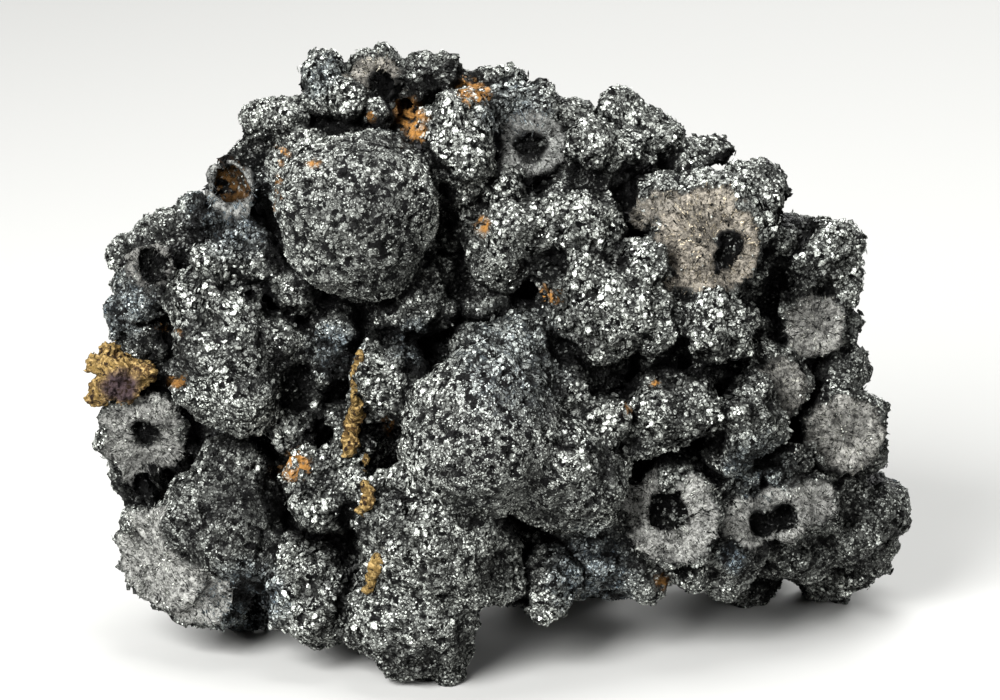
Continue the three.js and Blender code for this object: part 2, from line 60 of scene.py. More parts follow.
# %% Driving values
MM = 0.001
LOOK_DOWN = math.radians(16)
VIEW_FROM = 694.0
AIM_HEIGHT = 38.0
VIEW_WIDTH = 125.0
GROUND_CUT = 0.25
MOVED = np.array([-0.4, 1.2, -GROUND_CUT])
LUMPINESS = 0.055
SIN, COS = math.sin(LOOK_DOWN), math.cos(LOOK_DOWN)
AIM_UP = AIM_HEIGHT * COS


def in_piece(rows):
    """The centres and radii in the piece of globes laid out as [across, up, fore, radius]."""
    across, up, fore, radius = np.array(rows, float).T
    level = (up + fore * SIN) / COS
    nearer = fore * COS + (level - AIM_HEIGHT) * SIN
    shrink = 1 - nearer / VIEW_FROM
    true_up = AIM_UP + (up - AIM_UP) * shrink
    height = (true_up + fore * SIN) / COS
    return np.stack([across * shrink, -fore, height], 1) + MOVED, radius * shrink


def in_view(points):
    """Where points of the piece are seen: across, up and fore."""
    x, y, z = (points - MOVED).T
    nearer = -y * COS + (z - AIM_HEIGHT) * SIN
    shrink = 1 - nearer / VIEW_FROM
    up = AIM_UP + (z * COS + y * SIN - AIM_UP) / shrink
    return np.stack([x / shrink, up, -y], 1)


# %% [markdown]
# ## Camera
# It stands where the layout was seen from, so it comes first: everything after is judged through
# it. The lens follows from the width of the view at the specimen's middle.

# %% Camera
SENSOR = 36.0
aim = Vector((np.array([0, 0, AIM_HEIGHT]) + MOVED) * MM)
toward = Vector((0, -COS, SIN))
lens = bpy.data.cameras.new("camera")
lens.sensor_width = SENSOR
lens.lens = SENSOR * VIEW_FROM / VIEW_WIDTH
lens.clip_start = 0.01
camera = bpy.data.objects.new("camera", lens)
camera.location = aim + toward * VIEW_FROM * MM
camera.rotation_euler = toward.to_track_quat("Z", "Y").to_euler()
bpy.context.scene.collection.objects.link(camera)
bpy.context.scene.camera = camera
print("camera lens", round(lens.lens, 1), "mm")

# %% [markdown]
# ## The globes
# These rows repeat the solids' own layout. They are grouped by where they lie, so that one can be
# found and moved by looking at the specimen.

# %% Globes of the front
CROWN = [
    [-21.9, 70.5, 2, 3.1],
    [-22.8, 67.6, 3, 2.5],
    [-19.2, 67.4, 6, 2.4],
    [-14.9, 66.4, 5, 2.7],
    [-10.0, 70.4, 3, 3.3],
    [-6.4, 71.3, 1, 2.6],
    [-2.5, 69.6, 1, 2.5],
    [0.6, 70.1, 1, 2.1],
    [1.6, 67.4, 3, 2.6],
    [5.4, 67.6, 2, 2.7],
    [9.1, 66.0, 2, 2.7],
    [11.3, 62.1, 6, 3.4],
    [15.0, 65.1, 1, 3.3],
    [19.1, 63.1, 1, 3.5],
    [15.6, 60.7, 4, 3.5],
    [23.1, 60.2, 2, 2.8],
    [27.0, 61.3, 1, 2.1],
    [12.6, 58.2, 6, 2.8],
]
UPPER_LEFT = [
    [-18.0, 54.0, 13, 10.5],
    [-29.6, 47.4, 8, 4.2],
    [-32.0, 51.3, 6, 3.2],
    [-25.2, 44.4, 10, 3.4],
    [-34.4, 52.4, 5, 3.1],
    [-31.2, 61.3, 2, 2.8],
    [-29.8, 64.4, 2, 2.9],
    [-26.8, 65.4, 4, 3.1],
    [-38.1, 50.3, 1, 4.8],
    [-42.0, 50.1, 2, 3.7],
    [-45.4, 47.7, 3, 3.3],
    [-43.9, 43.6, 4, 3.3],
    [-35.6, 47.0, 8, 3.6],
    [-5.6, 62.4, 9, 5.6],
    [-6.9, 65.2, 10, 3.3],
    [-1.3, 66.7, 5, 3.2],
    [0.0, 57.2, 8, 2.6],
    [-5.0, 57.7, 7, 3.4],
]
LEFT_FLANK = [
    [-34.4, 37.1, 11, 7.0],
    [-37.6, 42.6, 9, 4.6],
    [-32.4, 32.0, 13, 5.9],
    [-28.6, 37.2, 10, 4.9],
    [-36.8, 31.5, 12, 4.0],
    [-46.2, 40.6, -1, 3.3],
    [-43.8, 37.6, 3, 3.3],
    [-46.6, 20.6, 3, 2.9],
    [-44.8, 17.6, 4, 2.9],
    [-34.2, 14.4, 8, 8.4],
    [-33.8, 21.6, 7, 5.0],
    [-31.0, 10.6, 11, 4.6],
    [-33.8, 5.3, 8, 3.0],
]
HEART = [
    [-2.7, 25.9, 21, 10.5],
    [7.5, 21.6, 19, 8.0],
    [2.5, 34.2, 15, 6.0],
    [8.2, 30.8, 15, 4.0],
    [-3.8, 37.0, 15, 3.0],
    [5.7, 37.0, 13, 3.1],
    [11.4, 17.8, 17, 4.0],
    [-8.7, 14.6, 19, 9.4],
    [-2.7, 9.4, 19, 5.2],
    [-13.1, 10.3, 19, 5.0],
    [-13.7, 32.5, 15, 5.7],
    [-21.2, 19.2, 15, 5.5],
    [-18.6, 23.6, 15, 2.9],
    [-19.3, 28.4, 12, 2.7],
    [-25.0, 27.7, 8, 4.5],
    [-21.2, 35.2, 10, 3.3],
    [-25.8, 32.2, 8, 3.2],
    [-20.5, 39.5, 9, 3.8],
    [-10.0, 42.6, 10, 5.0],
    [-12.8, 40.6, 12, 3.0],
    [-1.5, 42.7, 8, 4.0],
    [-6.2, 50.4, 5, 3.0],
    [-7.4, 45.9, 8, 2.7],
]
RIGHT_OF_HEART = [
    [9.4, 52.0, 9, 6.0],
    [2.2, 50.2, 9, 6.2],
    [-2.4, 53.3, 7, 2.5],
    [12.5, 55.2, 8, 2.6],
    [13.1, 42.0, 13, 6.8],
    [11.2, 45.4, 13, 5.2],
    [17.5, 47.0, 13, 3.2],
    [19.4, 40.2, 13, 4.4],
    [7.7, 43.7, 12, 3.4],
    [5.6, 40.8, 11, 3.5],
    [12.3, 34.5, 11, 3.8],
    [20.0, 36.4, 10, 2.9],
    [26.2, 39.6, 12, 4.9],
    [30.0, 40.1, 12, 2.4],
    [22.2, 29.2, 15, 5.5],
    [17.5, 26.2, 15, 3.3],
    [17.4, 30.4, 14, 2.7],
    [30.6, 28.0, 12, 5.2],
    [29.3, 24.0, 12, 3.2],
    [12.1, 27.0, 16, 4.4],
    [13.2, 23.8, 16, 3.5],
    [21.5, 20.6, 12, 2.9],
    [29.9, 21.6, 8, 3.0],
    [35.6, 22.4, 8, 3.5],
    [29.6, 12.0, 9, 2.8],
]
UNDERSIDE = [
    [-23.7, 6.6, 13, 6.5],
    [-26.2, 10.2, 13, 3.7],
    [-21.9, 3.1, 13, 3.2],
    [-18.4, 5.2, 14, 3.0],
    [-15.6, 2.3, 16, 4.1],
    [-11.0, 3.8, 17, 8.1],
    [-6.2, 5.4, 19, 3.9],
    [5.6, 7.2, 14, 4.5],
    [0.8, 5.8, 14, 2.4],
    [12.6, 10.3, 10, 4.0],
    [13.8, 7.4, 8, 2.4],
    [15.1, 13.4, 11, 2.8],
    [18.8, 9.0, 9, 3.3],
    [23.8, 9.8, 10, 3.3],
]
RIGHT_FLANK = [
    [32.4, 56.7, 6, 3.7],
    [33.2, 58.6, 5, 1.9],
    [35.0, 55.8, 3, 2.4],
    [34.4, 50.9, 5, 2.9],
    [30.0, 58.4, 4, 2.1],
    [40.6, 49.1, 2, 4.5],
    [38.0, 46.4, 5, 3.0],
    [42.2, 44.4, 1, 3.3],
    [36.4, 43.2, 4, 2.3],
    [42.4, 39.5, 0, 3.4],
    [32.5, 36.4, 6, 2.8],
    [42.6, 33.9, 1, 3.8],
    [46.0, 28.2, -1, 2.8],
    [46.0, 23.8, -1, 2.8],
    [41.8, 20.2, -1, 3.7],
    [43.8, 15.8, -4, 7.0],
    [47.9, 15.2, -5, 3.4],
    [45.4, 10.9, -8, 4.2],
    [42.4, 10.6, -11, 4.6],
    [37.4, 12.4, -5, 4.9],
    [34.2, 12.8, -6, 4.7],
    [29.6, 8.0, -14, 3.3],
]
SHOWN = CROWN + UPPER_LEFT + LEFT_FLANK + HEART + RIGHT_OF_HEART + UNDERSIDE + RIGHT_FLANK
print(len(SHOWN), "globes are laid out by hand")

# %% [markdown]
# ## Broken globes
# Each is a globe cut by a plane that faces the viewer, with hollows sunk in the break. The last two
# numbers say how light the broken face is and how brown: the great break on the right is a warm
# grey, and the one at the lower left almost white.

# %% Broken globes and the parts that can't be seen
# row, the way the break faces, how far out it lies in radii, hollows (across, up, radius), light, brown
BROKEN = [
    (
        [26.0, 50.2, 9, 7.9],
        (-0.1, -0.97, 0.1),
        0.42,
        [(2.9, 0.2, 1.3), (2.4, -1.7, 0.9), (-2.8, 4.0, 0.6)],
        0.5,
        1.0,
    ),
    ([21.5, 15.9, 13, 6.6], (-0.05, -0.95, 0.3), 0.35, [(-0.5, 0.4, 2.2)], 0.75, 0.1),
    ([31.4, 15.2, 10, 3.8], (0.1, -0.95, 0.1), 0.3, [(1.2, -0.3, 1.3)], 0.8, 0.1),
    ([35.0, 16.3, 9, 4.1], (0.1, -0.95, 0.1), 0.3, [(0.2, -0.4, 1.6)], 0.8, 0.1),
    ([39.2, 17.8, 8, 3.3], (0.1, -0.95, 0.1), 0.45, [], 0.7, 0.1),
    ([-44.2, 26.2, 4, 6.0], (-0.2, -0.95, 0.1), 0.3, [(0.3, 0.2, 1.5)], 0.35, 0.1),
    ([-33.2, 56.9, 5, 4.1], (-0.35, -0.9, 0.15), 0.4, [(0, 0.4, 2.0)], 0.4, 0.0),
    ([3.8, 62.4, 5, 4.9], (0.1, -0.95, 0.2), 0.5, [(-0.2, -0.4, 1.8)], 0.35, 0.0),
    ([-15.6, 69.8, 2, 4.6], (0, -0.95, 0.2), 0.5, [(0.6, 0.2, 1.4)], 0.4, 0.6),
    ([-43.6, 46.8, 5, 3.4], (-0.1, -0.95, 0.2), 0.4, [(0.4, 0.2, 1.6)], 0.35, 0.2),
    ([-41.0, 11.0, 9, 7.3], (-0.45, -0.89, -0.05), 0.35, [], 0.8, 0.1),
    ([19.6, 54.4, 9, 3.9], (-0.1, -0.9, -0.3), 0.4, [], 0.45, 0.8),
    ([39.2, 39.6, 4, 4.5], (0.1, -0.98, 0.1), 0.35, [], 0.5, 0.2),
    ([42.8, 27.0, 4, 5.6], (0.1, -0.97, -0.1), 0.4, [], 0.45, 0.25),
    ([34.6, 32.2, 7, 4.4], (0.2, -0.95, 0.1), 0.45, [], 0.4, 0.3),
    ([-37.4, 6.8, 10, 5.4], (-0.4, -0.9, -0.1), 0.4, [], 0.7, 0.1),
]
HOLLOW_SINK = 0.15
FEET = [
    [-7.6, -16.0, 4.4],
    [-31.6, 1.5, 3.4],
    [32.6, 14.8, 4.6],
    [41.6, 14.8, 4.2],
    [-17.5, 18.5, 6.0],
    [9.5, 18.5, 6.0],
]
FOOT_RISE, LEG_RISE = 0.88, 2.1
# the solid middle: centre and half sizes
MIDDLE = [
    ((-12, 4, 43), (24, 13, 22)),
    ((16, 4, 41), (22, 13, 18)),
    ((-14, 0, 61), (16, 7, 10)),
    ((9, 0, 58), (16, 7, 8)),
    ((27, 0, 52), (12, 6, 7)),
    ((-20, 3, 21), (18, 12, 12)),
    ((6, 4, 25), (20, 12, 11)),
    ((17, -6, 20), (14, 9, 8)),
    ((8, -5, 12.5), (15, 7, 4.5)),
    ((32, 7, 24), (13, 11, 15)),
]
# rows of the back: height, how many, x of the middle, half-width, how far back, radius
BACK_ROWS = [
    (61, 4, -4, 17, 11, 6.2),
    (51, 5, -3, 28, 17, 7.2),
    (39, 6, -2, 36, 20, 8.2),
    (26, 5, 0, 37, 20, 8.4),
    (14, 5, 1, 34, 17, 7.6),
]
BACK_CURVE, BACK_STAGGER, BACK_STRAY = 15, 0.3, 5
BACK_RADII = (0.72, 1.22)
BUD_RADIUS, BUD_OUT, BUD_BACK = 0.5, 0.8, 0.5
EDGE_FORE, EDGE_BEHIND, EDGE_RADIUS = 6.5, -7, 4.9
EDGE_BACK, EDGE_DRAW, EDGE_GROWTH = 3.2, 0.9, 1.35
VIEW_MIDDLE_UP = 36
UNDER_ACROSS, UNDER_DEEP = 5, 3
UNDER_FIRST, UNDER_STEP, UNDER_HEIGHT, UNDER_RADIUS = (-26, -7), (14, 9), 12.5, 5.6
UNDER_SHIFT, UNDER_STRAY, UNDER_RISE, UNDER_RADII = 0.5, 0.4, 2, (0.85, 0.3)


def chance(n):
    """A repeatable number from 0 to 1, the same one as in the solids."""
    x = math.sin(n * 127.1 + 11.7) * 43758.5453
    return x - math.floor(x)


def feet_globes():
    for x, y, radius in FEET:
        for rise in (FOOT_RISE, LEG_RISE):
            yield (x, y, radius * rise), radius


def edge_globes():
    """Behind a lump of the edge stands another, larger and nearer the middle of the view."""
    rows = [
        [
            across * EDGE_DRAW,
            VIEW_MIDDLE_UP + (up - VIEW_MIDDLE_UP) * EDGE_DRAW,
            fore - EDGE_BACK * r,
            r * EDGE_GROWTH,
        ]
        for across, up, fore, r in SHOWN
        if EDGE_BEHIND < fore < EDGE_FORE and r < EDGE_RADIUS
    ]
    centres, radii = in_piece(rows)
    return zip(centres - MOVED, radii)


def under_globes():
    for i in range(UNDER_ACROSS * UNDER_DEEP):
        row, column = divmod(i, UNDER_ACROSS)
        along = column + UNDER_SHIFT * (row % 2) + UNDER_STRAY * (chance(i + 60) - 0.5)
        radius = UNDER_RADIUS * (UNDER_RADII[0] + UNDER_RADII[1] * chance(i + 80))
        height = UNDER_HEIGHT + UNDER_RISE * chance(i + 90)
        yield (UNDER_FIRST[0] + UNDER_STEP[0] * along, UNDER_FIRST[1] + UNDER_STEP[1] * row, height), radius


def back_globes():
    """Rows of globes, each a little out of place, each with a bud on it."""
    for row, (z, count, middle, half_width, back, usual) in enumerate(BACK_ROWS):
        for i in range(count):
            seed = 31 * row + i
            along = 2 * i / (count - 1) - 1
            stagger = (1 if row % 2 else -1) * BACK_STAGGER * half_width / count
            x = middle + along * half_width + stagger + BACK_STRAY * (chance(seed + 0.25) - 0.5)
            height = z + BACK_STRAY * (chance(seed + 0.5) - 0.5)
            centre = np.array([x, back - BACK_CURVE * along * along, height])
            radius = usual * (BACK_RADII[0] + (BACK_RADII[1] - BACK_RADII[0]) * chance(seed))
            turn = 2 * math.pi * chance(seed + 0.75)
            bud = np.array([BUD_OUT * math.cos(turn), BUD_BACK, BUD_OUT * math.sin(turn)])
            yield centre, radius
            yield centre + bud * radius, radius * BUD_RADIUS


shown_centres, shown_radii = in_piece(SHOWN)
hidden = [*feet_globes(), *edge_globes(), *under_globes(), *back_globes()]
globe_centres = np.concatenate([shown_centres, np.array([c for c, _ in hidden]) + MOVED])
globe_radii = np.concatenate([shown_radii, [r for _, r in hidden]])
broken_centres, broken_radii = in_piece([row for row, *_ in BROKEN])
print(len(globe_radii), "whole globes and", len(BROKEN), "broken ones")

# %% [markdown]
# ## One field for the whole mass
# A field holds, for each point of a fine lattice, how far the nearest globe's surface is, negative
# inside. Joining globes is then taking the lower value, cutting is taking the higher, and no mesh
# boolean can fail on the hundreds of joins. Each globe only touches the lattice round itself.

# %% Field
STEP = 0.62
MARGIN = 3.0
GLOBE_REACH, HOLLOW_REACH = 1.1, 1.4
HOLLOW_WAVES, HOLLOW_RAGGED = 2.6, 0.09
SWELLS, SWELL_LIMIT = (4.1, 5.3, 4.7), 1.5
BROKEN_SEED = 500
low = np.array([-56.0, -35.0, -3.0])
high = np.array([56.0, 36.0, 80.0])
counts = np.ceil((high - low) / STEP).astype(int)
field = np.full(counts, MARGIN, np.float32)


def block(centre, reach):
    """The part of the lattice within reach of a centre, and its points relative to that centre."""
    first = np.maximum(np.floor((centre - reach - low) / STEP).astype(int), 0)
    last = np.minimum(np.ceil((centre + reach - low) / STEP).astype(int) + 1, counts)
    axes = [low[k] + STEP * np.arange(first[k], last[k]) - centre[k] for k in range(3)]
    points = np.stack(np.meshgrid(*axes, indexing="ij"), -1)
    return tuple(slice(f, t) for f, t in zip(first, last)), points


def turned_back(directions, phase):
    """Directions as they were before the globe was turned about Z and then X."""
    ca, sa, cb, sb = math.cos(phase[0]), math.sin(phase[0]), math.cos(phase[1]), math.sin(phase[1])
    x, y, z = directions[..., 0], directions[..., 1], directions[..., 2]
    y, z = y * cb + z * sb, z * cb - y * sb
    return x * ca + y * sa, y * ca - x * sa, z


def globe_distance(points, radius, seed):
    """Distance to a globe whose surface swells and sinks a little, as it does in the solids."""
    far = np.linalg.norm(points, axis=-1) + 1e-6
    phase = [2 * math.pi * chance(seed + k) for k in (0, 0.3, 0.6)]
    ways = turned_back(points / far[..., None], phase)
    swell = sum(np.sin(waves * way + start) for waves, way, start in zip(SWELLS, ways, phase))
    return far - radius * (1 + LUMPINESS * swell / SWELL_LIMIT)


def unit(v):
    v = np.array(v, float)
    return v / np.linalg.norm(v)


def join(where, distance):
    field[where] = np.minimum(field[where], distance)


def hollow_places():
    """Where each hollow of a broken globe is centred, and its radius."""
    for row, faces, share, hollows, *_ in BROKEN:
        for across, up, radius in hollows:
            centre = in_piece([[row[0] + across, row[1] + up, row[2], radius]])[0][0]
            yield centre + unit(faces) * (row[3] * share - HOLLOW_SINK * radius), radius


for at, half in MIDDLE:
    centre = np.array(at) + MOVED
    where, points = block(centre, max(half) + MARGIN)
    join(where, (np.linalg.norm(points / half, axis=-1) - 1) * min(half))
for i, (centre, radius) in enumerate(zip(globe_centres, globe_radii)):
    where, points = block(centre, radius * GLOBE_REACH + MARGIN)
    join(where, globe_distance(points, radius, i + 1))
for i, (_, faces, share, *_) in enumerate(BROKEN):
    centre, radius = broken_centres[i], broken_radii[i]
    where, points = block(centre, radius * GLOBE_REACH + MARGIN)
    cut = points @ unit(faces) - radius * share
    join(where, np.maximum(globe_distance(points, radius, BROKEN_SEED + i), cut))
for i, (centre, radius) in enumerate(hollow_places()):
    where, points = block(centre, radius * HOLLOW_REACH + MARGIN)
    far = np.linalg.norm(points, axis=-1)
    waves = [HOLLOW_WAVES * unit(np.cos([i + k, 2.1 * k, 3.3 * k + i])) for k in (1, 2, 3)]
    ragged = sum(np.sin(points @ wave) for wave in waves)
    field[where] = np.maximum(field[where], radius * (1 + HOLLOW_RAGGED * ragged) - far)
heights = low[2] + STEP * np.arange(counts[2])
field = np.maximum(field, -heights[None, None, :]).astype(np.float32)
print("field of", field.size, "points")

# %% [markdown]
# ## From a field to a skin
# A surface net puts one corner in each cell of the lattice that the surface crosses, at the mean
# of the crossings on the cell's edges, and one four-sided face round each crossed lattice edge.
# It gives even faces, which suit a skin that will be roughened, where marching cubes gives slivers.

# %% Surface net
CORNERS = np.array(list(itertools.product((0, 1), repeat=3)))
CELL_EDGES = [(a, b) for a in CORNERS for b in CORNERS if (b - a).sum() == 1 and ((b - a) >= 0).all()]


def surface_net(values, corner, step):
    inside = values < 0
    size = np.array(values.shape) - 1
    filled = sum(
        inside[i : size[0] + i, j : size[1] + j, k : size[2] + k].astype(np.int8) for i, j, k in CORNERS
    )
    mixed = (filled > 0) & (filled < 8)
    cells = np.argwhere(mixed)
    number = np.full(mixed.shape, -1, np.int64)
    number[mixed] = np.arange(len(cells))
    total = np.zeros((len(cells), 3))
    crossings = np.zeros(len(cells))
    for a, b in CELL_EDGES:
        start, end = values[tuple((cells + a).T)], values[tuple((cells + b).T)]
        crossed = (start < 0) != (end < 0)
        share = np.where(crossed, start / np.where(crossed, start - end, 1), 0)
        total += np.where(crossed[:, None], a + (b - a) * share[:, None], 0)
        crossings += crossed
    corners = corner + (cells + total / crossings[:, None]) * step
    faces = []
    for axis in range(3):
        along, u, v = (np.eye(3, dtype=int)[(axis + k) % 3] for k in range(3))
        ahead = np.roll(inside, -1, axis=axis)
        edges = np.argwhere(inside != ahead)
        edges = edges[((edges < size) & (edges + along - 1 >= 0) & (edges - u - v >= 0)).all(1)]
        ring = np.stack([number[tuple((edges - a).T)] for a in (u + v, v, 0 * u, u)], 1)
        leaving = inside[tuple(edges.T)]
        faces.append(np.where(leaving[:, None], ring, ring[:, ::-1]))
    return corners, np.concatenate(faces)


def sheets(corners, faces, least):
    """Leaves out closed surfaces of few corners, such as the bubbles shut in between globes."""
    label = np.arange(len(corners))
    edges = np.concatenate([faces[:, [k, (k + 1) % 4]] for k in range(4)])
    while True:
        lower = np.minimum(label[edges[:, 0]], label[edges[:, 1]])
        spread = label.copy()
        np.minimum.at(spread, edges[:, 0], lower)
        np.minimum.at(spread, edges[:, 1], lower)
        spread = spread[spread]
        if (spread == label).all():
            break
        label = spread
    kept = np.bincount(label, minlength=len(label))[label] >= least
    renumber = np.cumsum(kept) - 1
    return corners[kept], renumber[faces[kept[faces[:, 0]]]]


def corner_normals(corners, faces):
    a, b, c, d = (corners[faces[:, k]] for k in range(4))
    normal = np.cross(c - a, d - b)
    total = np.zeros_like(corners)
    for k in range(4):
        np.add.at(total, faces[:, k], normal)
    return total / (np.linalg.norm(total, axis=1)[:, None] + 1e-12)


LEAST_CORNERS = 20000
skin, skin_faces = sheets(*surface_net(field, low, STEP), LEAST_CORNERS)
print("skin of", len(skin_faces) * 2, "triangles")

# %% [markdown]
# ## Noise
# Nothing on a mineral is even. A lattice noise, a random value at each lattice corner smoothly
# filled in between, gives the swelling of the skin and the patches of colour. Scattered points,
# one to a cell, give knobs, pits and clumps: what matters there is how near the next point is.
# Both are computed from place alone, so they are the same on every run.

# %% Noise and field reading
PRIMES = np.array([73856093, 19349663, 83492791])
SEED_STEP, MIXERS, SHIFTS = 2654435761, (1274126177, 2246822519), (13, 15, 16)
NEIGHBOURS = np.array(list(itertools.product((-1, 0, 1), repeat=3)))
FAR_OFF = 9.0
LOOK_OUT = (1.0, 2.6, 5.0)
OPEN_SHARE, OPEN_MOST = 0.9, 2.9


def random_at(cells, seed):
    """A random number from 0 to 1 for each whole-numbered place."""
    mixed = (cells * PRIMES).sum(-1) + seed * SEED_STEP
    for shift, mixer in zip(SHIFTS, MIXERS):
        mixed = (mixed ^ (mixed >> shift)) * mixer
    return ((mixed ^ (mixed >> SHIFTS[-1])) & 0xFFFF) / 0xFFFF


def lattice_noise(points, size, seed):
    place = points / size
    cell = np.floor(place).astype(np.int64)
    part = place - cell
    part = part * part * (3 - 2 * part)
    total = np.zeros(len(points))
    for corner in CORNERS:
        total += random_at(cell + corner, seed) * np.prod(np.where(corner, part, 1 - part), axis=1)
    return total


def rough_noise(points, size, seed, octaves=3):
    total = sum(lattice_noise(points, size / 2**k, seed + k) / 2**k for k in range(octaves))
    return total / sum(1 / 2**k for k in range(octaves))


def scattered(points, size, seed):
    """Distances to the nearest and the second nearest scattered point, and the nearest one's cell."""
    place = points / size
    cell = np.floor(place).astype(np.int64)
    nearest = np.full(len(points), FAR_OFF)
    second = nearest.copy()
    chosen = np.zeros_like(cell)
    for neighbour in NEIGHBOURS:
        here = cell + neighbour
        offset = place - here - np.stack([random_at(here, seed + k) for k in range(3)], 1)
        far = (offset**2).sum(1)
        second = np.minimum(second, np.maximum(far, nearest))
        better = far < nearest
        nearest = np.where(better, far, nearest)
        chosen = np.where(better[:, None], here, chosen)
    return size * np.sqrt(nearest), size * np.sqrt(second), chosen


def read_field(points):
    place = (points - low) / STEP
    cell = np.clip(np.floor(place).astype(int), 0, counts - 2)
    part = place - cell
    total = np.zeros(len(points))
    for corner in CORNERS:
        total += field[tuple((cell + corner).T)] * np.prod(np.where(corner, part, 1 - part), axis=1)
    return total


def shut_in(points, normals):
    """How deep in a crevice points lie, from 0 in the open to 1 between touching globes."""
    room = 0
    for far in LOOK_OUT:
        room += np.clip(read_field(points + normals * far) / min(OPEN_SHARE * far, OPEN_MOST), 0, 1)
    return 1 - room / len(LOOK_OUT)


# %% [markdown]
# ## What each region is like
# The specimen isn't the same all over. Some globes are dull and pitted, others carry bright flakes,
# the lower right is nearly black, and bluish films and rust lie in patches. Each kind is a list of
# soft discs in the front view, [across, up, radius, strength], and a point takes the strongest
# disc that reaches it. Only what stands in front takes them, so nothing shines through to the back.
# There, noise alone lays out the flakes and films.

# %% Regions
FLAKY = [
    [-5.6, 62.8, 6.0, 1.0],
    [-21.0, 66.8, 4.0, 0.9],
    [-22.2, 70.8, 3.0, 0.8],
    [1.0, 70.2, 3.0, 0.8],
    [0.2, 57.0, 3.5, 0.9],
    [9.4, 52.6, 6.5, 0.9],
    [16.0, 62.5, 6.0, 0.8],
    [13.1, 42.6, 8.0, 0.95],
    [26.4, 39.6, 6.0, 1.0],
    [22.2, 29.2, 6.0, 0.7],
    [30.6, 28.0, 6.0, 0.7],
    [12.4, 26.6, 5.0, 1.0],
    [3.0, 36.5, 6.0, 0.7],
    [-13.7, 33.0, 6.0, 0.75],
    [-21.0, 19.0, 6.0, 0.9],
    [-23.7, 7.6, 7.0, 0.75],
    [-12.0, 15.0, 7.0, 0.7],
    [5.6, 7.4, 5.0, 0.7],
    [-34.6, 41.5, 6.5, 1.0],
    [-26.0, 28.5, 4.0, 0.9],
    [-35.0, 47.5, 4.0, 0.8],
    [40.6, 49.4, 5.0, 0.8],
    [33.5, 56.5, 4.5, 0.8],
    [21.5, 20.6, 3.5, 0.8],
]
DULL = [
    [-18.0, 54.0, 11.5, 1.0],
    [-2.7, 25.9, 10.5, 1.0],
    [7.5, 21.0, 7.0, 0.7],
    [-34.4, 13.5, 8.5, 0.6],
    [-11.0, 3.8, 8.0, 0.5],
    [-34.0, 33.0, 7.0, 0.5],
]
DARK = [
    [44.0, 13.0, 9.0, 0.5],
    [36.0, 9.0, 8.0, 0.7],
    [46.0, 24.0, 5.0, 0.4],
    [-34.4, 15.0, 8.5, 0.6],
    [-33.5, 22.0, 6.0, 0.7],
    [-1.5, 45.0, 7.0, 0.6],
    [-12.0, 41.0, 7.0, 0.5],
    [2.0, 49.0, 5.0, 0.4],
    [30.0, 46.0, 4.0, 0.5],
    [13.0, 34.0, 5.0, 0.5],
    [4.0, 62.0, 5.0, 0.4],
    [-18.0, 48.0, 9.0, 0.35],
]
FILM = [
    [-33.5, 54.0, 5.0, 0.8],
    [-32.0, 5.5, 4.5, 0.9],
    [11.5, 9.0, 5.0, 0.8],
    [-10.8, 37.6, 3.0, 0.7],
    [32.5, 21.5, 4.0, 0.6],
    [1.5, 35.0, 6.5, 0.4],
    [-20.6, 36.4, 3.0, 0.8],
    [-47.0, 42.0, 4.0, 0.7],
    [1.5, 66.5, 4.0, 0.5],
    [29.0, 10.8, 1.6, 1.0],
    [-22.2, 70.6, 2.6, 0.6],
]
RUST = [
    [-11.2, 65.6, 1.6, 1.0],
    [-10.4, 63.6, 1.0, 1.0],
    [-3.8, 68.4, 1.5, 1.0],
    [-2.6, 69.4, 1.0, 0.8],
    [-2.1, 52.1, 0.9, 1.0],
    [6.0, 43.3, 0.8, 1.0],
    [19.1, 32.7, 0.5, 1.0],
    [15.7, 29.2, 0.6, 0.8],
    [-23.4, 59.9, 0.6, 0.9],
    [-15.9, 65.6, 0.5, 0.9],
    [-27.2, 61.4, 0.4, 0.9],
    [-27.6, 60.0, 0.3, 0.9],
    [-27.9, 58.6, 0.35, 0.9],
    [-27.6, 57.2, 0.35, 0.9],
    [-27.7, 55.6, 0.4, 0.9],
    [-27.9, 54.0, 0.4, 0.8],
    [-41.4, 39.2, 0.6, 0.8],
    [-40.4, 32.4, 0.7, 0.8],
    [-25.2, 22.6, 1.2, 1.0],
    [-26.0, 21.0, 1.0, 0.9],
    [-14.0, 26.4, 0.6, 0.9],
    [-33.4, 57.4, 1.9, 0.45],
    [20.5, 7.4, 0.9, 0.6],
]
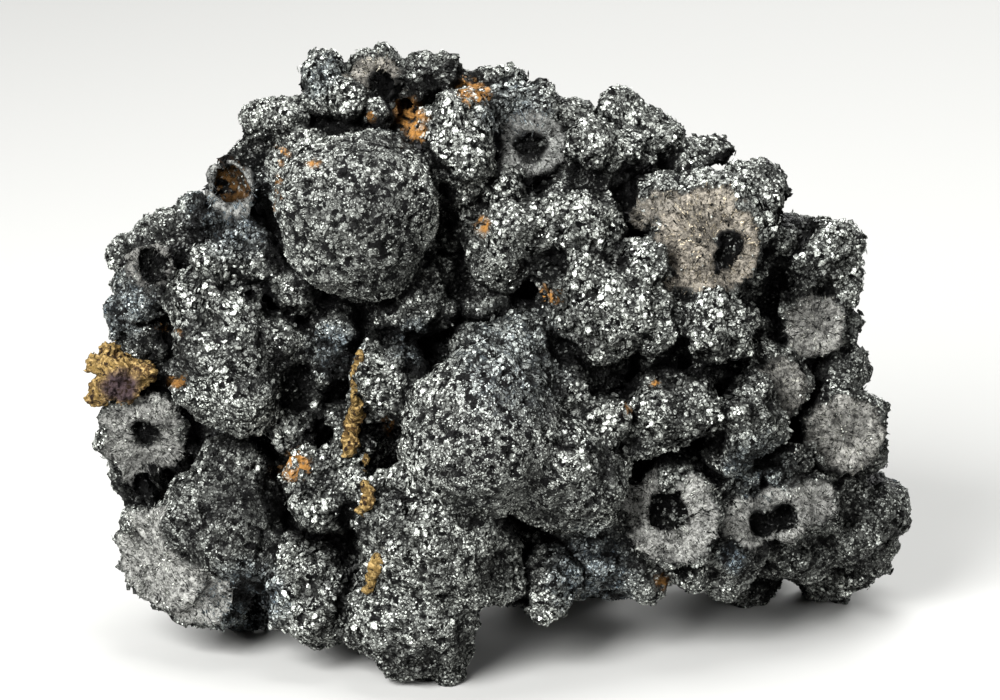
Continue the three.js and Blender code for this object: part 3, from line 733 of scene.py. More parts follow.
# Light patches, partly the mineral's paler flakes and partly painted highlight; a grain's shade rises by
# them.
PALE_AND_HIGHLIT = [
    [-22.4, 70.6, 2.2, 1.0],
    [-6.5, 64.0, 2.0, 0.8],
    [0.0, 57.1, 1.5, 1.0],
    [0.0, 71.8, 1.5, 0.7],
    [16.2, 55.9, 1.3, 0.8],
    [-33.8, 42.1, 1.8, 0.9],
    [-39.4, 42.1, 1.6, 0.9],
    [-33.8, 38.4, 1.6, 0.9],
    [-35.6, 30.2, 2.0, 0.7],
    [-29.0, 28.4, 1.5, 0.8],
    [-41.9, 17.8, 1.4, 0.8],
    [-26.2, 12.1, 1.6, 0.8],
    [-19.4, 19.0, 1.8, 0.8],
    [30.6, 41.2, 1.4, 0.9],
    [-6.9, 38.4, 1.4, 0.7],
    [10.6, 51.5, 2.0, 0.7],
    [12.5, 45.5, 2.0, 0.6],
    [25.5, 39.5, 2.2, 0.6],
    [26.5, 53.5, 1.6, 0.7],
    [40.5, 51.5, 1.8, 0.6],
    [-2.0, 27.0, 2.5, 0.4],
    [12.0, 27.0, 2.0, 0.6],
    [24.0, 30.5, 1.5, 0.5],
    [35.5, 20.5, 1.8, 0.5],
    [-2.7, 26.0, 8.0, 0.2],
    [-9.0, 14.0, 7.0, 0.2],
    [-6.0, 5.0, 7.0, 0.15],
    [14.0, 38.0, 6.0, 0.15],
    [22.5, 29.0, 6.5, 0.2],
    [-15.0, 33.0, 5.0, 0.25],
]
KINDS = {
    "flaky": (FLAKY, 0.35),
    "dull": (DULL, 0.35),
    "dark": (DARK, 0.35),
    "film": (FILM, 0.35),
    "rust": (RUST, 0.25),
    "bright": (PALE_AND_HIGHLIT, 0.4),
}
# for the back: how much of each, the size of its patches, their seed, how much is taken off
BEHIND = {"flaky": (2, 9.0, 60, 0.6), "film": (2.4, 7.0, 70, 1.3)}
SHOWN_DEPTH, SHOWN_FADE = 3.5, 2
PATCH_STRAY, PATCH_GRAIN = 2.4, 2.6
# The painted shade in a hollow of a broken globe: full inside it, fading out a little past its rim.
HOLLOW_SHADE_FROM, HOLLOW_SHADE_FALL = 4.5, 3.5


def front_at(view):
    """How far out the foremost globe reaches at places in the front view."""
    reach = np.zeros(len(view))
    for across, up, fore, radius in [*SHOWN, *(row for row, *_ in BROKEN)]:
        inside = radius**2 - (view[:, 0] - across) ** 2 - (view[:, 1] - up) ** 2
        reach = np.maximum(reach, np.where(inside > 0, fore + np.sqrt(np.maximum(inside, 0)), 0))
    return reach


def strength(view, discs, soft):
    best = np.zeros(len(view))
    for across, up, radius, most in discs:
        away = np.hypot(view[:, 0] - across, view[:, 1] - up) / radius
        best = np.maximum(best, most * np.clip((1 + soft - away) / (2 * soft), 0, 1))
    return best


def regions(points):
    """How far points belong to each kind above, and how near to a hollow, which is painted in shade."""
    view = in_view(points)
    shown = np.clip((view[:, 2] - front_at(view) + SHOWN_DEPTH + SHOWN_FADE) / SHOWN_FADE, 0, 1)
    ragged = view + PATCH_STRAY * (rough_noise(points, PATCH_GRAIN, 50)[:, None] - 0.5) * [1, -1, 0]
    found = {kind: strength(ragged, discs, soft) * shown for kind, (discs, soft) in KINDS.items()}
    for kind, (much, size, seed, less) in BEHIND.items():
        patches = much * (1 - shown) * rough_noise(points, size, seed) - less
        found[kind] = np.maximum(found[kind], np.clip(patches, 0, 1))
    found["hollow"] = np.zeros(len(points))
    for centre, radius in hollow_places():
        away = np.linalg.norm(points - centre, axis=1) / radius
        found["hollow"] = np.maximum(found["hollow"], np.clip(HOLLOW_SHADE_FROM - HOLLOW_SHADE_FALL * away, 0, 1))
    return found


print(sum(len(discs) for discs, _ in KINDS.values()), "discs say what each region is like")

# %% [markdown]
# ## The skin
# The crust has come off in layers. That leaves each globe stepped in ledges, crumbled between them
# and set with knobs of a millimetre or two, and pits are sunk where the mineral is spongy. Broken
# faces are marked, with the direction and distance from the globe's heart at each corner, because
# a noise read along the direction alone gives fibres that all run out from there.

# %% Skin relief
LEDGE_SIZE, LEDGE_STEPS, LEDGE_HEIGHT = 4.4, 9, 4.4
CLIFF_FROM, CLIFF_WIDTH = 0.38, 0.24
CRUMB_SIZE, CRUMB_HEIGHT = 1.8, 1.5
KNOB_SIZE, KNOB_HEIGHT, KNOB_FALL, KNOB_MIDDLE = 2.4, 0.95, 1.3, 0.6
PIT_SIZE, PIT_RADIUS, PIT_DEPTH = 1.5, 0.5, 0.8
PIT_STRAY, PIT_GRAIN = 0.5, 0.7
PORES_ANYWHERE, PORES_IN_DULL = 0.2, 0.7
TORN_SIZE, TORN_HEIGHT, FIBRE_HEIGHT = 4.0, 2.6, 0.6
SINK, TORN_SINK = 0.3, 0.15
BREAK_NEAR, BREAK_REACH, BREAK_FACING, BREAK_RAGGED = 0.8, 1.02, 0.6, 0.7
HEART_DEPTH = 0.25
# Below: how much painted shade the skin takes in the hollows of broken globes.
SKIN_HOLLOW_SHADE = 0.85


def pits(points, dull, soft=0.15):
    """1 in the pores, which are common in the spongy places, and 0 outside them."""
    stray = PIT_STRAY * (lattice_noise(points, PIT_GRAIN, 19)[:, None] - 0.5)
    away, _, cell = scattered(points + stray, PIT_SIZE, 20)
    common = PORES_ANYWHERE + PORES_IN_DULL * dull
    return np.where(random_at(cell, 29) < common, np.clip((PIT_RADIUS - away) / soft, 0, 1), 0)


def ledges(points, size, seed, steps):
    """A noise in flat steps with short cliffs between, as in a crust whose layers have come off."""
    level = rough_noise(points, size, seed) * steps
    whole = np.floor(level)
    climb = np.clip((level - whole - CLIFF_FROM) / CLIFF_WIDTH, 0, 1)
    return (whole + climb * climb * (3 - 2 * climb)) / steps


normals = corner_normals(skin, skin_faces)
fracture = np.zeros(len(skin))
light_face = np.zeros(len(skin))
brown_face = np.zeros(len(skin))
ray = normals.copy()
run = np.zeros(len(skin))
ragged_edge = rough_noise(skin, 1.6, 8) - 0.5
for i, (_, faces, share, _, light, brown) in enumerate(BROKEN):
    apart = skin - broken_centres[i]
    off_plane = np.abs(apart @ unit(faces) - broken_radii[i] * share)
    reach = np.linalg.norm(apart, axis=1) / broken_radii[i] + BREAK_RAGGED * ragged_edge
    on_break = (off_plane < BREAK_NEAR * STEP) & (reach < BREAK_REACH)
    on_break &= normals @ unit(faces) > BREAK_FACING
    fracture[on_break] = 1
    light_face[on_break] = light
    brown_face[on_break] = brown
    heart = broken_centres[i] + unit(faces) * broken_radii[i] * (share - HEART_DEPTH)
    outward = skin - heart
    run[on_break] = np.linalg.norm(outward, axis=1)[on_break]
    ray[on_break] = (outward / np.linalg.norm(outward, axis=1)[:, None])[on_break]
nature = regions(skin)
swelling = ledges(skin, LEDGE_SIZE, 1, LEDGE_STEPS) - 0.5
crumbling = rough_noise(skin, CRUMB_SIZE, 4) - 0.5
craggy = (LEDGE_HEIGHT * swelling + CRUMB_HEIGHT * crumbling) * (1 - 0.8 * nature["dull"])
away, _, _ = scattered(skin, KNOB_SIZE, 12)
knobs = np.clip(1 - KNOB_FALL * (away / KNOB_SIZE) ** 2, 0, 1) - KNOB_MIDDLE
knob_height = KNOB_HEIGHT * (0.45 + 0.55 * nature["flaky"]) * (1 - 0.3 * nature["dull"])
sunk = pits(skin, nature["dull"])
rough = craggy + knob_height * knobs - PIT_DEPTH * sunk - SINK
fibres = rough_noise(ray, 0.1, 5, 2) - 0.5
torn = TORN_HEIGHT * (ledges(skin, TORN_SIZE, 14, LEDGE_STEPS) - 0.5) + FIBRE_HEIGHT * fibres - TORN_SINK
push = np.where(fracture > 0, torn, rough)
skin = skin + normals * push[:, None]
skin[:, 2] = np.maximum(skin[:, 2], 0)
normals = corner_normals(skin, skin_faces)
# How shut in each corner is, with the hollows of broken globes counted in: the materials paint shade by it.
crevice = np.maximum(shut_in(skin, normals), SKIN_HOLLOW_SHADE * nature["hollow"])
print("broken faces cover", int(fracture.sum()), "corners of", len(skin))

# %% [markdown]
# ## Grains
# Each grain is a low pyramid on four corners that dip into the skin, with its tip off centre, so
# that it shows one or two wide facets and a small cliff, as a platy crystal does that lies askew.
# Four triangles a grain is the least that reads as a crystal, and leaves room for a whole crust.
# They stand close, finest on the dull globes, and part only along cracks and round pores.

# %% Scattering
SEED = 7
FRONT_DENSITY, BACK_DENSITY = 8.6, 4.0
BACK_FROM, BACK_OVER = 2.0, 10.0
NEAR_GROUND = 0.6
CLUMP_SIZE, CLUMP_SEED = 1.5, 33
CRACK_WIDTH, CRACK_SHARE = 0.22, 0.85
FEWER_ON_BREAKS, CREVICE_SHUT, FEWER_SHUT_IN = 0.97, 0.75, 0.4
SCALES_SHUT, FEWER_SCALES = 0.6, 0.2
rng = np.random.default_rng(SEED)


def scatter(corners, faces, vertex_normals, density):
    """Random places on a mesh, so many to the square millimetre, with the normal at each."""
    a, b, c, d = (faces[:, k] for k in range(4))
    triangles = np.concatenate([np.stack([a, b, c], 1), np.stack([a, c, d], 1)])
    p, q, r = (corners[triangles[:, k]] for k in range(3))
    area = np.linalg.norm(np.cross(q - p, r - p), axis=1) / 2
    wanted = area * density[triangles].mean(1)
    count = np.floor(wanted + rng.random(len(wanted))).astype(int)
    chosen = np.repeat(np.arange(len(triangles)), count)
    s = np.sqrt(rng.random(len(chosen)))
    t = rng.random(len(chosen))
    weights = np.stack([1 - s, s * (1 - t), s * t], 1)
    places = (corners[triangles[chosen]] * weights[..., None]).sum(1)
    facing = (vertex_normals[triangles[chosen]] * weights[..., None]).sum(1)
    return places, facing / (np.linalg.norm(facing, axis=1)[:, None] + 1e-9)


def kept_from_gaps(places, ups, dull):
    """Leaves out what would fill a pore or a crack."""
    near, second, _ = scattered(places, CLUMP_SIZE, CLUMP_SEED)
    width = CRACK_WIDTH * (0.4 + 1.2 * rough_noise(places, 4.0, 35))
    cracked = (second - near < width) & (rng.random(len(places)) < CRACK_SHARE)
    clear = (pits(places, dull, 0.02) < 0.5) & ~cracked
    return places[clear], ups[clear]


behind = np.clip((skin[:, 1] - BACK_FROM) / BACK_OVER, 0, 1)
density = FRONT_DENSITY + (BACK_DENSITY - FRONT_DENSITY) * behind
density *= 1 - FEWER_ON_BREAKS * fracture
density *= (1 - 0.3 * nature["flaky"]) * (1 + 0.9 * nature["dull"])
density *= np.where(crevice > CREVICE_SHUT, FEWER_SHUT_IN, 1)
density *= np.where(skin[:, 2] < NEAR_GROUND, 0.3, 1)
grain_at, grain_up = scatter(skin, skin_faces, normals, density)
grain_at, grain_up = kept_from_gaps(grain_at, grain_up, regions(grain_at)["dull"])
scale_density = (1 - 0.5 * behind) * (0.2 + 2.8 * nature["flaky"])
scale_density *= 1 - fracture
scale_density *= 1 - 0.7 * nature["dull"]
in_patches = np.clip(1.5 * rough_noise(skin, 2.6, 36) - 0.2, 0, 1)
scale_density *= in_patches * np.where(crevice > SCALES_SHUT, FEWER_SCALES, 1)
scale_at, scale_up = scatter(skin, skin_faces, normals, scale_density)
scale_at, scale_up = kept_from_gaps(scale_at, scale_up, regions(scale_at)["dull"])
print(len(grain_at), "grains and", len(scale_at), "scales")

# %% [markdown]
# A grain's corners are laid out in a plane of its own, leant at random away from the skin. How far
# it leans decides how much it can catch the light, so flaky places lean more. The grains of a clump
# share a part of their lean and of their shade, so that some patches flash and others stay dark.

# %% Grains
GRAIN_LEAST, GRAIN_SPREAD, GRAIN_FLAKY = 0.2, 0.17, 0.06
# How much painted shade a grain takes in a hollow of a broken globe.
GRAIN_HOLLOW_SHADE = 0.75


def own_planes(places, up, lean, shared):
    """Three axes for each grain: two in its plane and the one it faces, which a clump half shares."""
    count = len(up)
    _, _, cell = scattered(places, CLUMP_SIZE, CLUMP_SEED)
    common = np.stack([random_at(cell, 60 + k) for k in range(3)], 1) - 0.5
    leant = up + 2 * shared[:, None] * common + lean[:, None] * rng.standard_normal((count, 3))
    leant /= np.linalg.norm(leant, axis=1)[:, None]
    side = np.cross(leant, rng.standard_normal((count, 3)))
    side /= np.linalg.norm(side, axis=1)[:, None]
    return side, np.cross(leant, side), leant


def grain_values(places, ups, extra):
    """What the materials read at each grain."""
    values = regions(places)
    _, _, cell = scattered(places, CLUMP_SIZE, CLUMP_SEED)
    clump = random_at(cell, 64)
    patch = rough_noise(places, 5.0, 44) - 0.5
    calm = 1 - 0.55 * values["dull"]
    each = 0.6 * (rng.random(len(places)) - 0.5) * (1 - 0.4 * values["bright"])
    shade = 0.55 + extra + calm * (each + 0.3 * (clump - 0.5) + 0.5 * patch)
    # The bright discs raise the shade: partly paler flakes, partly painted highlight.
    shade += 0.04 * values["flaky"] + 0.4 * values["bright"] - 0.06 * values["dull"]
    values["shade"] = np.clip(shade, 0, 1)
    # How shut in the grain is, with hollows counted in: the materials paint shade by it.
    values["crevice"] = np.maximum(shut_in(places, ups), GRAIN_HOLLOW_SHADE * values["hollow"])
    values["brown"] = np.zeros(len(places))
    return values


def around(at, up, side, other, radius, sides, dip, stray):
    """The corners of each grain's foot, and a tip off its middle."""
    count = len(at)
    corners = []
    for k in range(sides):
        turn = 2 * math.pi / sides * (k + 0.55 * rng.random(count))
        reach = radius * (0.75 + 0.5 * rng.random(count))
        out = side * (reach * np.cos(turn))[:, None] + other * (reach * np.sin(turn))[:, None]
        corners.append(at - up * (radius * dip)[:, None] + out)
    off = radius * stray * np.sqrt(rng.random(count))
    turn = 2 * math.pi * rng.random(count)
    tip = at + side * (off * np.cos(turn))[:, None] + other * (off * np.sin(turn))[:, None]
    return corners, tip


def pyramids(places, ups, radius, lean, shared, sides, lift, dip, stray, rise):
    """Grains: a foot of so many corners, lifted and dipped, and a tip that rises off its middle."""
    side, other, leant = own_planes(places, ups, lean, shared)
    ring, tips = around(places + ups * lift[:, None], ups, side, other, radius, sides, dip, stray)
    tips += leant * (radius * (rise[0] + rise[1] * rng.random(len(radius))))[:, None]
    return np.stack([*ring, tips], 1)


grain_looks = grain_values(grain_at, grain_up, 0)
flaky = grain_looks["flaky"]
calm = 1 - 0.5 * grain_looks["dull"]
radius = GRAIN_LEAST + GRAIN_SPREAD * rng.random(len(grain_at)) + GRAIN_FLAKY * flaky
radius *= 0.3 + 0.7 * calm
lean, shared = (0.3 + 0.1 * flaky) * calm, 0.35 * calm
form = {"sides": 4, "lift": 0 * radius, "dip": 0.35, "stray": 0.7, "rise": (0.3, 0.5)}
grain_corners = pyramids(grain_at, grain_up, radius, lean, shared, **form)
print("grains", round(2 * radius.min(), 2), "to", round(2 * radius.max(), 2), "mm wide")

# %% [markdown]
# ## Scales
# The bright places carry larger, rounder plates that lie over one another like scales. A scale is
# the same pyramid with five sides, nearly flat, and raised a little clear of the small grains.

# %% Scales
SCALE_LEAST, SCALE_SPREAD = 0.32, 0.36
SCALE_SHADE = 0.14
scale_looks = grain_values(scale_at, scale_up, SCALE_SHADE)
radius = SCALE_LEAST + SCALE_SPREAD * rng.random(len(scale_at)) ** 1.6
calm = 1 - 0.5 * scale_looks["dull"]
lean, shared = 0.28 * calm, 0.3 * calm
form = {"sides": 5, "lift": 0.1 + 0.3 * radius, "dip": 0.0, "stray": 0.5, "rise": (0.12, 0.16)}
scale_corners = pyramids(scale_at, scale_up, radius, lean, shared, **form)
print("scales", round(2 * radius.min(), 2), "to", round(2 * radius.max(), 2), "mm wide")

# %% [markdown]
# ## Blades
# Broken faces show long thin blades side by side, each on its way out from the globe's heart. A
# blade is the same pyramid once more, drawn out along that direction.

# %% Blades
BLADE_DENSITY = 3.0
BLADE_HEART, BLADE_DIP, BLADE_STRAY = 0.15, 0.06, 0.35
BLADE_LENGTH, BLADE_WIDTH, BLADE_HEIGHT = (0.3, 0.6), (0.1, 0.08), (0.02, 0.07)
blade_at, blade_up = scatter(skin, skin_faces, normals, BLADE_DENSITY * np.clip(2 * fracture - 1, 0, 1))
count = len(blade_at)
closest = np.full(count, np.inf)
heart = np.zeros((count, 3))
light_blade = np.zeros(count)
brown_blade = np.zeros(count)
for i, (_, faces, share, _, light, brown) in enumerate(BROKEN):
    away = np.linalg.norm(blade_at - broken_centres[i], axis=1) / broken_radii[i]
    better = away < closest
    closest = np.where(better, away, closest)
    heart[better] = broken_centres[i] + unit(faces) * broken_radii[i] * (share - BLADE_HEART)
    light_blade[better], brown_blade[better] = light, brown
outward = blade_at - heart
outward -= blade_up * (outward * blade_up).sum(1)[:, None]
outward /= np.linalg.norm(outward, axis=1)[:, None] + 1e-6
outward += BLADE_STRAY * rng.standard_normal((count, 3))
across = np.cross(blade_up, outward)
across /= np.linalg.norm(across, axis=1)[:, None] + 1e-6
along = outward * (BLADE_LENGTH[0] + BLADE_LENGTH[1] * rng.random(count) ** 1.5)[:, None]
aside = across * (BLADE_WIDTH[0] + BLADE_WIDTH[1] * rng.random(count))[:, None]
raised = blade_up * (BLADE_HEIGHT[0] + BLADE_HEIGHT[1] * rng.random(count))[:, None]
foot = blade_at - blade_up * BLADE_DIP
tip = blade_at + raised + along * (0.5 * (rng.random(count) - 0.5))[:, None]
blade_corners = np.stack([foot - along, foot + aside, foot + along, foot - aside, tip], 1)
blade_looks = grain_values(blade_at, blade_up, 0)
tone = 0.05 + 0.5 * rng.random(count) + 0.45 * (rough_noise(blade_at, 3.0, 47) - 0.5)
blade_looks["shade"] = np.clip(tone * (0.75 + 0.7 * light_blade), 0, 1)
blade_looks["brown"] = brown_blade
print(count, "blades")

# %% [markdown]
# ## Meshes
# Corner values that the materials read go along as attributes: what region a point is in, how
# shut in it is and how proud of the skin, by which they paint shade, and the grey of its grain,
# its shade. A shader can't work these out.

# %% Mesh making
def add_piece(name, corners, face_sets, material, values, vectors=()):
    mesh = bpy.data.meshes.new(name)
    sizes = np.concatenate([np.full(len(faces), faces.shape[1]) for faces in face_sets])
    indices = np.concatenate([faces.ravel() for faces in face_sets])
    mesh.vertices.add(len(corners))
    mesh.vertices.foreach_set("co", (corners * MM).astype(np.float32).ravel())
    mesh.loops.add(len(indices))
    mesh.loops.foreach_set("vertex_index", indices.astype(np.int32))
    mesh.polygons.add(len(sizes))
    mesh.polygons.foreach_set("loop_start", (np.cumsum(sizes) - sizes).astype(np.int32))
    mesh.polygons.foreach_set("loop_total", sizes.astype(np.int32))
    mesh.update(calc_edges=True)
    for key, value in values.items():
        layer = mesh.attributes.new(key, "FLOAT", "POINT")
        layer.data.foreach_set("value", np.asarray(value, np.float32))
    for key, value in vectors:
        layer = mesh.attributes.new(key, "FLOAT_VECTOR", "POINT")
        layer.data.foreach_set("vector", np.asarray(value, np.float32).ravel())
    mesh.materials.append(material)
    piece = bpy.data.objects.new(name, mesh)
    bpy.context.scene.collection.objects.link(piece)
    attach(piece, "root")
    print(name, int((sizes - 2).sum()), "triangles")
    return piece


def parted(corners, faces, count):
    """The same mesh in pieces side by side, each with its own corners: corner numbers and faces."""
    order = np.argsort(corners[faces[:, 0], 0])
    for share in np.array_split(order, count):
        used, renumbered = np.unique(faces[share], return_inverse=True)
        yield used, renumbered.reshape(-1, faces.shape[1])


# %% [markdown]
# ## Node groups
# Each look that more than one material uses is a group with named sockets, which puts out only
# colours and values. The shader itself stays in the material.

# %% Node helpers
def new_group(name, inputs, outputs):
    group = bpy.data.node_groups.new(name, "ShaderNodeTree")
    for label, kind, value in inputs:
        made = group.interface.new_socket(label, in_out="INPUT", socket_type=kind)
        made.default_value = value
    for label, kind in outputs:
        group.interface.new_socket(label, in_out="OUTPUT", socket_type=kind)
    return group, group.nodes.new("NodeGroupInput"), group.nodes.new("NodeGroupOutput")


def add_node(tree, kind, **settings):
    node = tree.nodes.new(kind)
    for key, value in settings.items():
        setattr(node, key, value)
    return node


def set_or_link(tree, socket, value):
    if isinstance(value, bpy.types.NodeSocket):
        tree.links.new(value, socket)
    else:
        socket.default_value = value


def math_node(tree, operation, *values, clamp=False):
    node = add_node(tree, "ShaderNodeMath", operation=operation, use_clamp=clamp)
    for socket, value in zip(node.inputs, values):
        set_or_link(tree, socket, value)
    return node.outputs[0]


def vector_node(tree, operation, *values):
    node = add_node(tree, "ShaderNodeVectorMath", operation=operation)
    for socket, value in zip(node.inputs, values):
        set_or_link(tree, socket, value)
    return node.outputs[0]


def mix_colour(tree, share, first, second, blend="MIX"):
    node = add_node(tree, "ShaderNodeMix", data_type="RGBA", blend_type=blend)
    for socket, value in zip((node.inputs[0], node.inputs[6], node.inputs[7]), (share, first, second)):
        set_or_link(tree, socket, value)
    return node.outputs[2]


def attribute(tree, name, output="Fac"):
    return add_node(tree, "ShaderNodeAttribute", attribute_name=name).outputs[output]


def position(tree):
    return add_node(tree, "ShaderNodeNewGeometry").outputs["Position"]


def noise(tree, vector, scale, detail=2.0, rough=0.5):
    node = add_node(tree, "ShaderNodeTexNoise")
    tree.links.new(vector, node.inputs["Vector"])
    set_or_link(tree, node.inputs["Scale"], scale)
    node.inputs["Detail"].default_value = detail
    node.inputs["Roughness"].default_value = rough
    return node.outputs["Fac"]


def stretch(tree, value, low_end, high_end, out_low=0.0, out_high=1.0):
    node = add_node(tree, "ShaderNodeMapRange")
    ends = {"From Min": low_end, "From Max": high_end, "To Min": out_low, "To Max": out_high}
    for label, number in ends.items():
        node.inputs[label].default_value = number
    tree.links.new(value, node.inputs["Value"])
    return node.outputs["Result"]


# %% [markdown]
# ** Metal tones.** A grain's grey goes by its shade and by the plate of it that is seen. Painted
# shade takes it to black at its foot, in cracks and pores and deep between the globes. Films tint it
# blue, breaks tint it brown, rust hides it, and dull places shine less. Scales of noise here and
# below are in waves to the metre.

# %% Metal tones group
BLACK = (0, 0, 0, 1)
METAL_DARK, METAL_LIGHT = (0.017, 0.018, 0.016, 1), (0.83, 0.865, 0.80, 1)
FILM_BLUE, WARM_TINT = (0.12, 0.175, 0.225, 1), (1.12, 0.93, 0.74, 1)
RUST_DARK, RUST_LIGHT = (0.05, 0.022, 0.006, 1), (0.36, 0.175, 0.045, 1)
RUST_GRAIN, RUST_PATCHES = 1400.0, 800.0
PLATE_SHARE, CONTRAST, FILM_SHARE = 0.6, 1.3, 0.6
# DARKEST is how much the dark regions dim; CREVICE_POWER and CRACK_DEPTH set painted shade between globes
# and in the cracks between plates.
DARKEST, CREVICE_POWER, CRACK_DEPTH = 0.5, 2.2, 0.95
# Painted shade at each grain's foot, where it meets its neighbours: darkest at the foot, full tone from
# FOOT_END of the way to the tip; dull places keep at least DULL_FOOT.
FOOT_END, FOOT_SHADE, DULL_FOOT = 0.36, 0.05, 0.5


def metal_tones():
    group, given, out = new_group(
        "metal tones",
        [
            ("Shade", "NodeSocketFloat", 0.5),
            ("Proud", "NodeSocketFloat", 1.0),
            ("Dull", "NodeSocketFloat", 0.0),
            ("Dark", "NodeSocketFloat", 0.0),
            ("Film", "NodeSocketFloat", 0.0),
            ("Rust", "NodeSocketFloat", 0.0),
            ("Brown", "NodeSocketFloat", 0.0),
            ("Crevice", "NodeSocketFloat", 0.0),
            ("Plate", "NodeSocketFloat", 0.5),
            ("Crack", "NodeSocketFloat", 0.0),
            ("Open", "NodeSocketFloat", 1.0),
        ],
        [("Color", "NodeSocketColor"), ("Metallic", "NodeSocketFloat"), ("Roughness", "NodeSocketFloat")],
    )
    take = given.outputs
    shade = math_node(group, "MULTIPLY_ADD", take["Plate"], PLATE_SHARE, take["Shade"])
    shade = math_node(group, "SUBTRACT", shade, PLATE_SHARE / 2, clamp=True)
    tone = mix_colour(group, math_node(group, "POWER", shade, CONTRAST), METAL_DARK, METAL_LIGHT)
    tone = mix_colour(group, math_node(group, "MULTIPLY", take["Film"], FILM_SHARE), tone, FILM_BLUE)
    warm = mix_colour(group, 1.0, tone, WARM_TINT, "MULTIPLY")
    tone = mix_colour(group, take["Brown"], tone, warm)
    # Painted shade: black deep between globes and in hollows, in the painted pores and creases, at each
    # grain's foot and in the cracks between plates. The dark regions dim it as their own colour.
    open_air = math_node(group, "SUBTRACT", 1.0, take["Crevice"], clamp=True)
    foot = stretch(group, take["Proud"], 0.0, FOOT_END, FOOT_SHADE, 1.0)
    dim = math_node(group, "MULTIPLY_ADD", take["Dark"], -DARKEST, 1.0)
    for darkening in (
        math_node(group, "POWER", open_air, CREVICE_POWER),
        take["Open"],
        math_node(group, "MAXIMUM", foot, math_node(group, "MULTIPLY", take["Dull"], DULL_FOOT)),
        math_node(group, "MULTIPLY_ADD", take["Crack"], -CRACK_DEPTH, 1.0),
    ):
        dim = math_node(group, "MULTIPLY", dim, darkening)
    tone = mix_colour(group, dim, BLACK, tone)
    ochre = mix_colour(group, noise(group, position(group), RUST_GRAIN, 1.0), RUST_DARK, RUST_LIGHT)
    patchy = stretch(group, noise(group, position(group), RUST_PATCHES, 2.0), 0.4, 0.52)
    rust = math_node(group, "MULTIPLY", take["Rust"], patchy)
    group.links.new(mix_colour(group, rust, tone, ochre), out.inputs["Color"])
    bare = math_node(group, "SUBTRACT", 1.0, rust, clamp=True)
    gleam = math_node(group, "MULTIPLY_ADD", shade, 0.4, 0.14)
    kept = math_node(group, "MULTIPLY_ADD", take["Dull"], -0.8, 1.0)
    gleam = math_node(group, "MULTIPLY", gleam, kept)
    group.links.new(math_node(group, "MULTIPLY", bare, gleam), out.inputs["Metallic"])
    worn = math_node(group, "MULTIPLY_ADD", shade, -0.2, 0.58)
    worn = math_node(group, "MULTIPLY_ADD", take["Dull"], 0.15, worn)
    group.links.new(math_node(group, "MAXIMUM", worn, rust), out.inputs["Roughness"])
    return group


METAL_TONES = metal_tones()
print(len(METAL_TONES.nodes), "nodes give the metal its tones")

# %% [markdown]
# ** Crinkled plates.** Every surface of the crust is broken into plates a few tenths of a millimetre
# wide, each with its own grey and its own lean, with black cracks of painted shade between them.
# Scattered cells give that at any closeness, and noise bends their outlines so that they aren't
# polygons.

# %% Plates group
BEND_SCALE, BEND_BY = 1300.0, 0.0011


def crinkled_plates():
    group, given, out = new_group(
        "crinkled plates",
        [
            ("Size", "NodeSocketFloat", 1800.0),
            ("Lean", "NodeSocketFloat", 0.9),
            ("Crack width", "NodeSocketFloat", 0.12),
        ],
        [("Plate", "NodeSocketFloat"), ("Crack", "NodeSocketFloat"), ("Normal", "NodeSocketVector")],
    )
    bend = add_node(group, "ShaderNodeTexNoise")
    group.links.new(position(group), bend.inputs["Vector"])
    bend.inputs["Scale"].default_value = BEND_SCALE
    bend.inputs["Detail"].default_value = 1.0
    shift = vector_node(group, "MULTIPLY_ADD", bend.outputs["Color"], (BEND_BY,) * 3, (-BEND_BY / 2,) * 3)
    place = vector_node(group, "ADD", position(group), shift)
    cells = add_node(group, "ShaderNodeTexVoronoi", feature="F1")
    edges = add_node(group, "ShaderNodeTexVoronoi", feature="DISTANCE_TO_EDGE")
    for node in (cells, edges):
        group.links.new(place, node.inputs["Vector"])
        group.links.new(given.outputs["Size"], node.inputs["Scale"])
    apart = add_node(group, "ShaderNodeSeparateXYZ")
    group.links.new(cells.outputs["Color"], apart.inputs[0])
    group.links.new(apart.outputs["X"], out.inputs["Plate"])
    # Crack is 1 in the cracks between plates, where the metal tones paint shade.
    ratio = math_node(group, "DIVIDE", edges.outputs["Distance"], given.outputs["Crack width"])
    group.links.new(math_node(group, "SUBTRACT", 1.0, ratio, clamp=True), out.inputs["Crack"])
    centred = vector_node(group, "SUBTRACT", cells.outputs["Color"], (0.5, 0.5, 0.5))
    leaning = vector_node(group, "SCALE", centred)
    group.links.new(given.outputs["Lean"], leaning.node.inputs["Scale"])
    surface = add_node(group, "ShaderNodeNewGeometry").outputs["Normal"]
    faced = vector_node(group, "ADD", surface, leaning)
    group.links.new(vector_node(group, "NORMALIZE", faced), out.inputs["Normal"])
    return group


PLATES = crinkled_plates()
print(len(PLATES.nodes), "nodes break it into plates")

# %% [markdown]
# ** Pores and creases.** Both are painted shade. Black pores open where one noise is low, more of them
# in spongy places, and black creases wind along where another noise is at its middle value.

# %% Pores group
PORE_SCALE, CREASE_SCALE = 820.0, 560.0


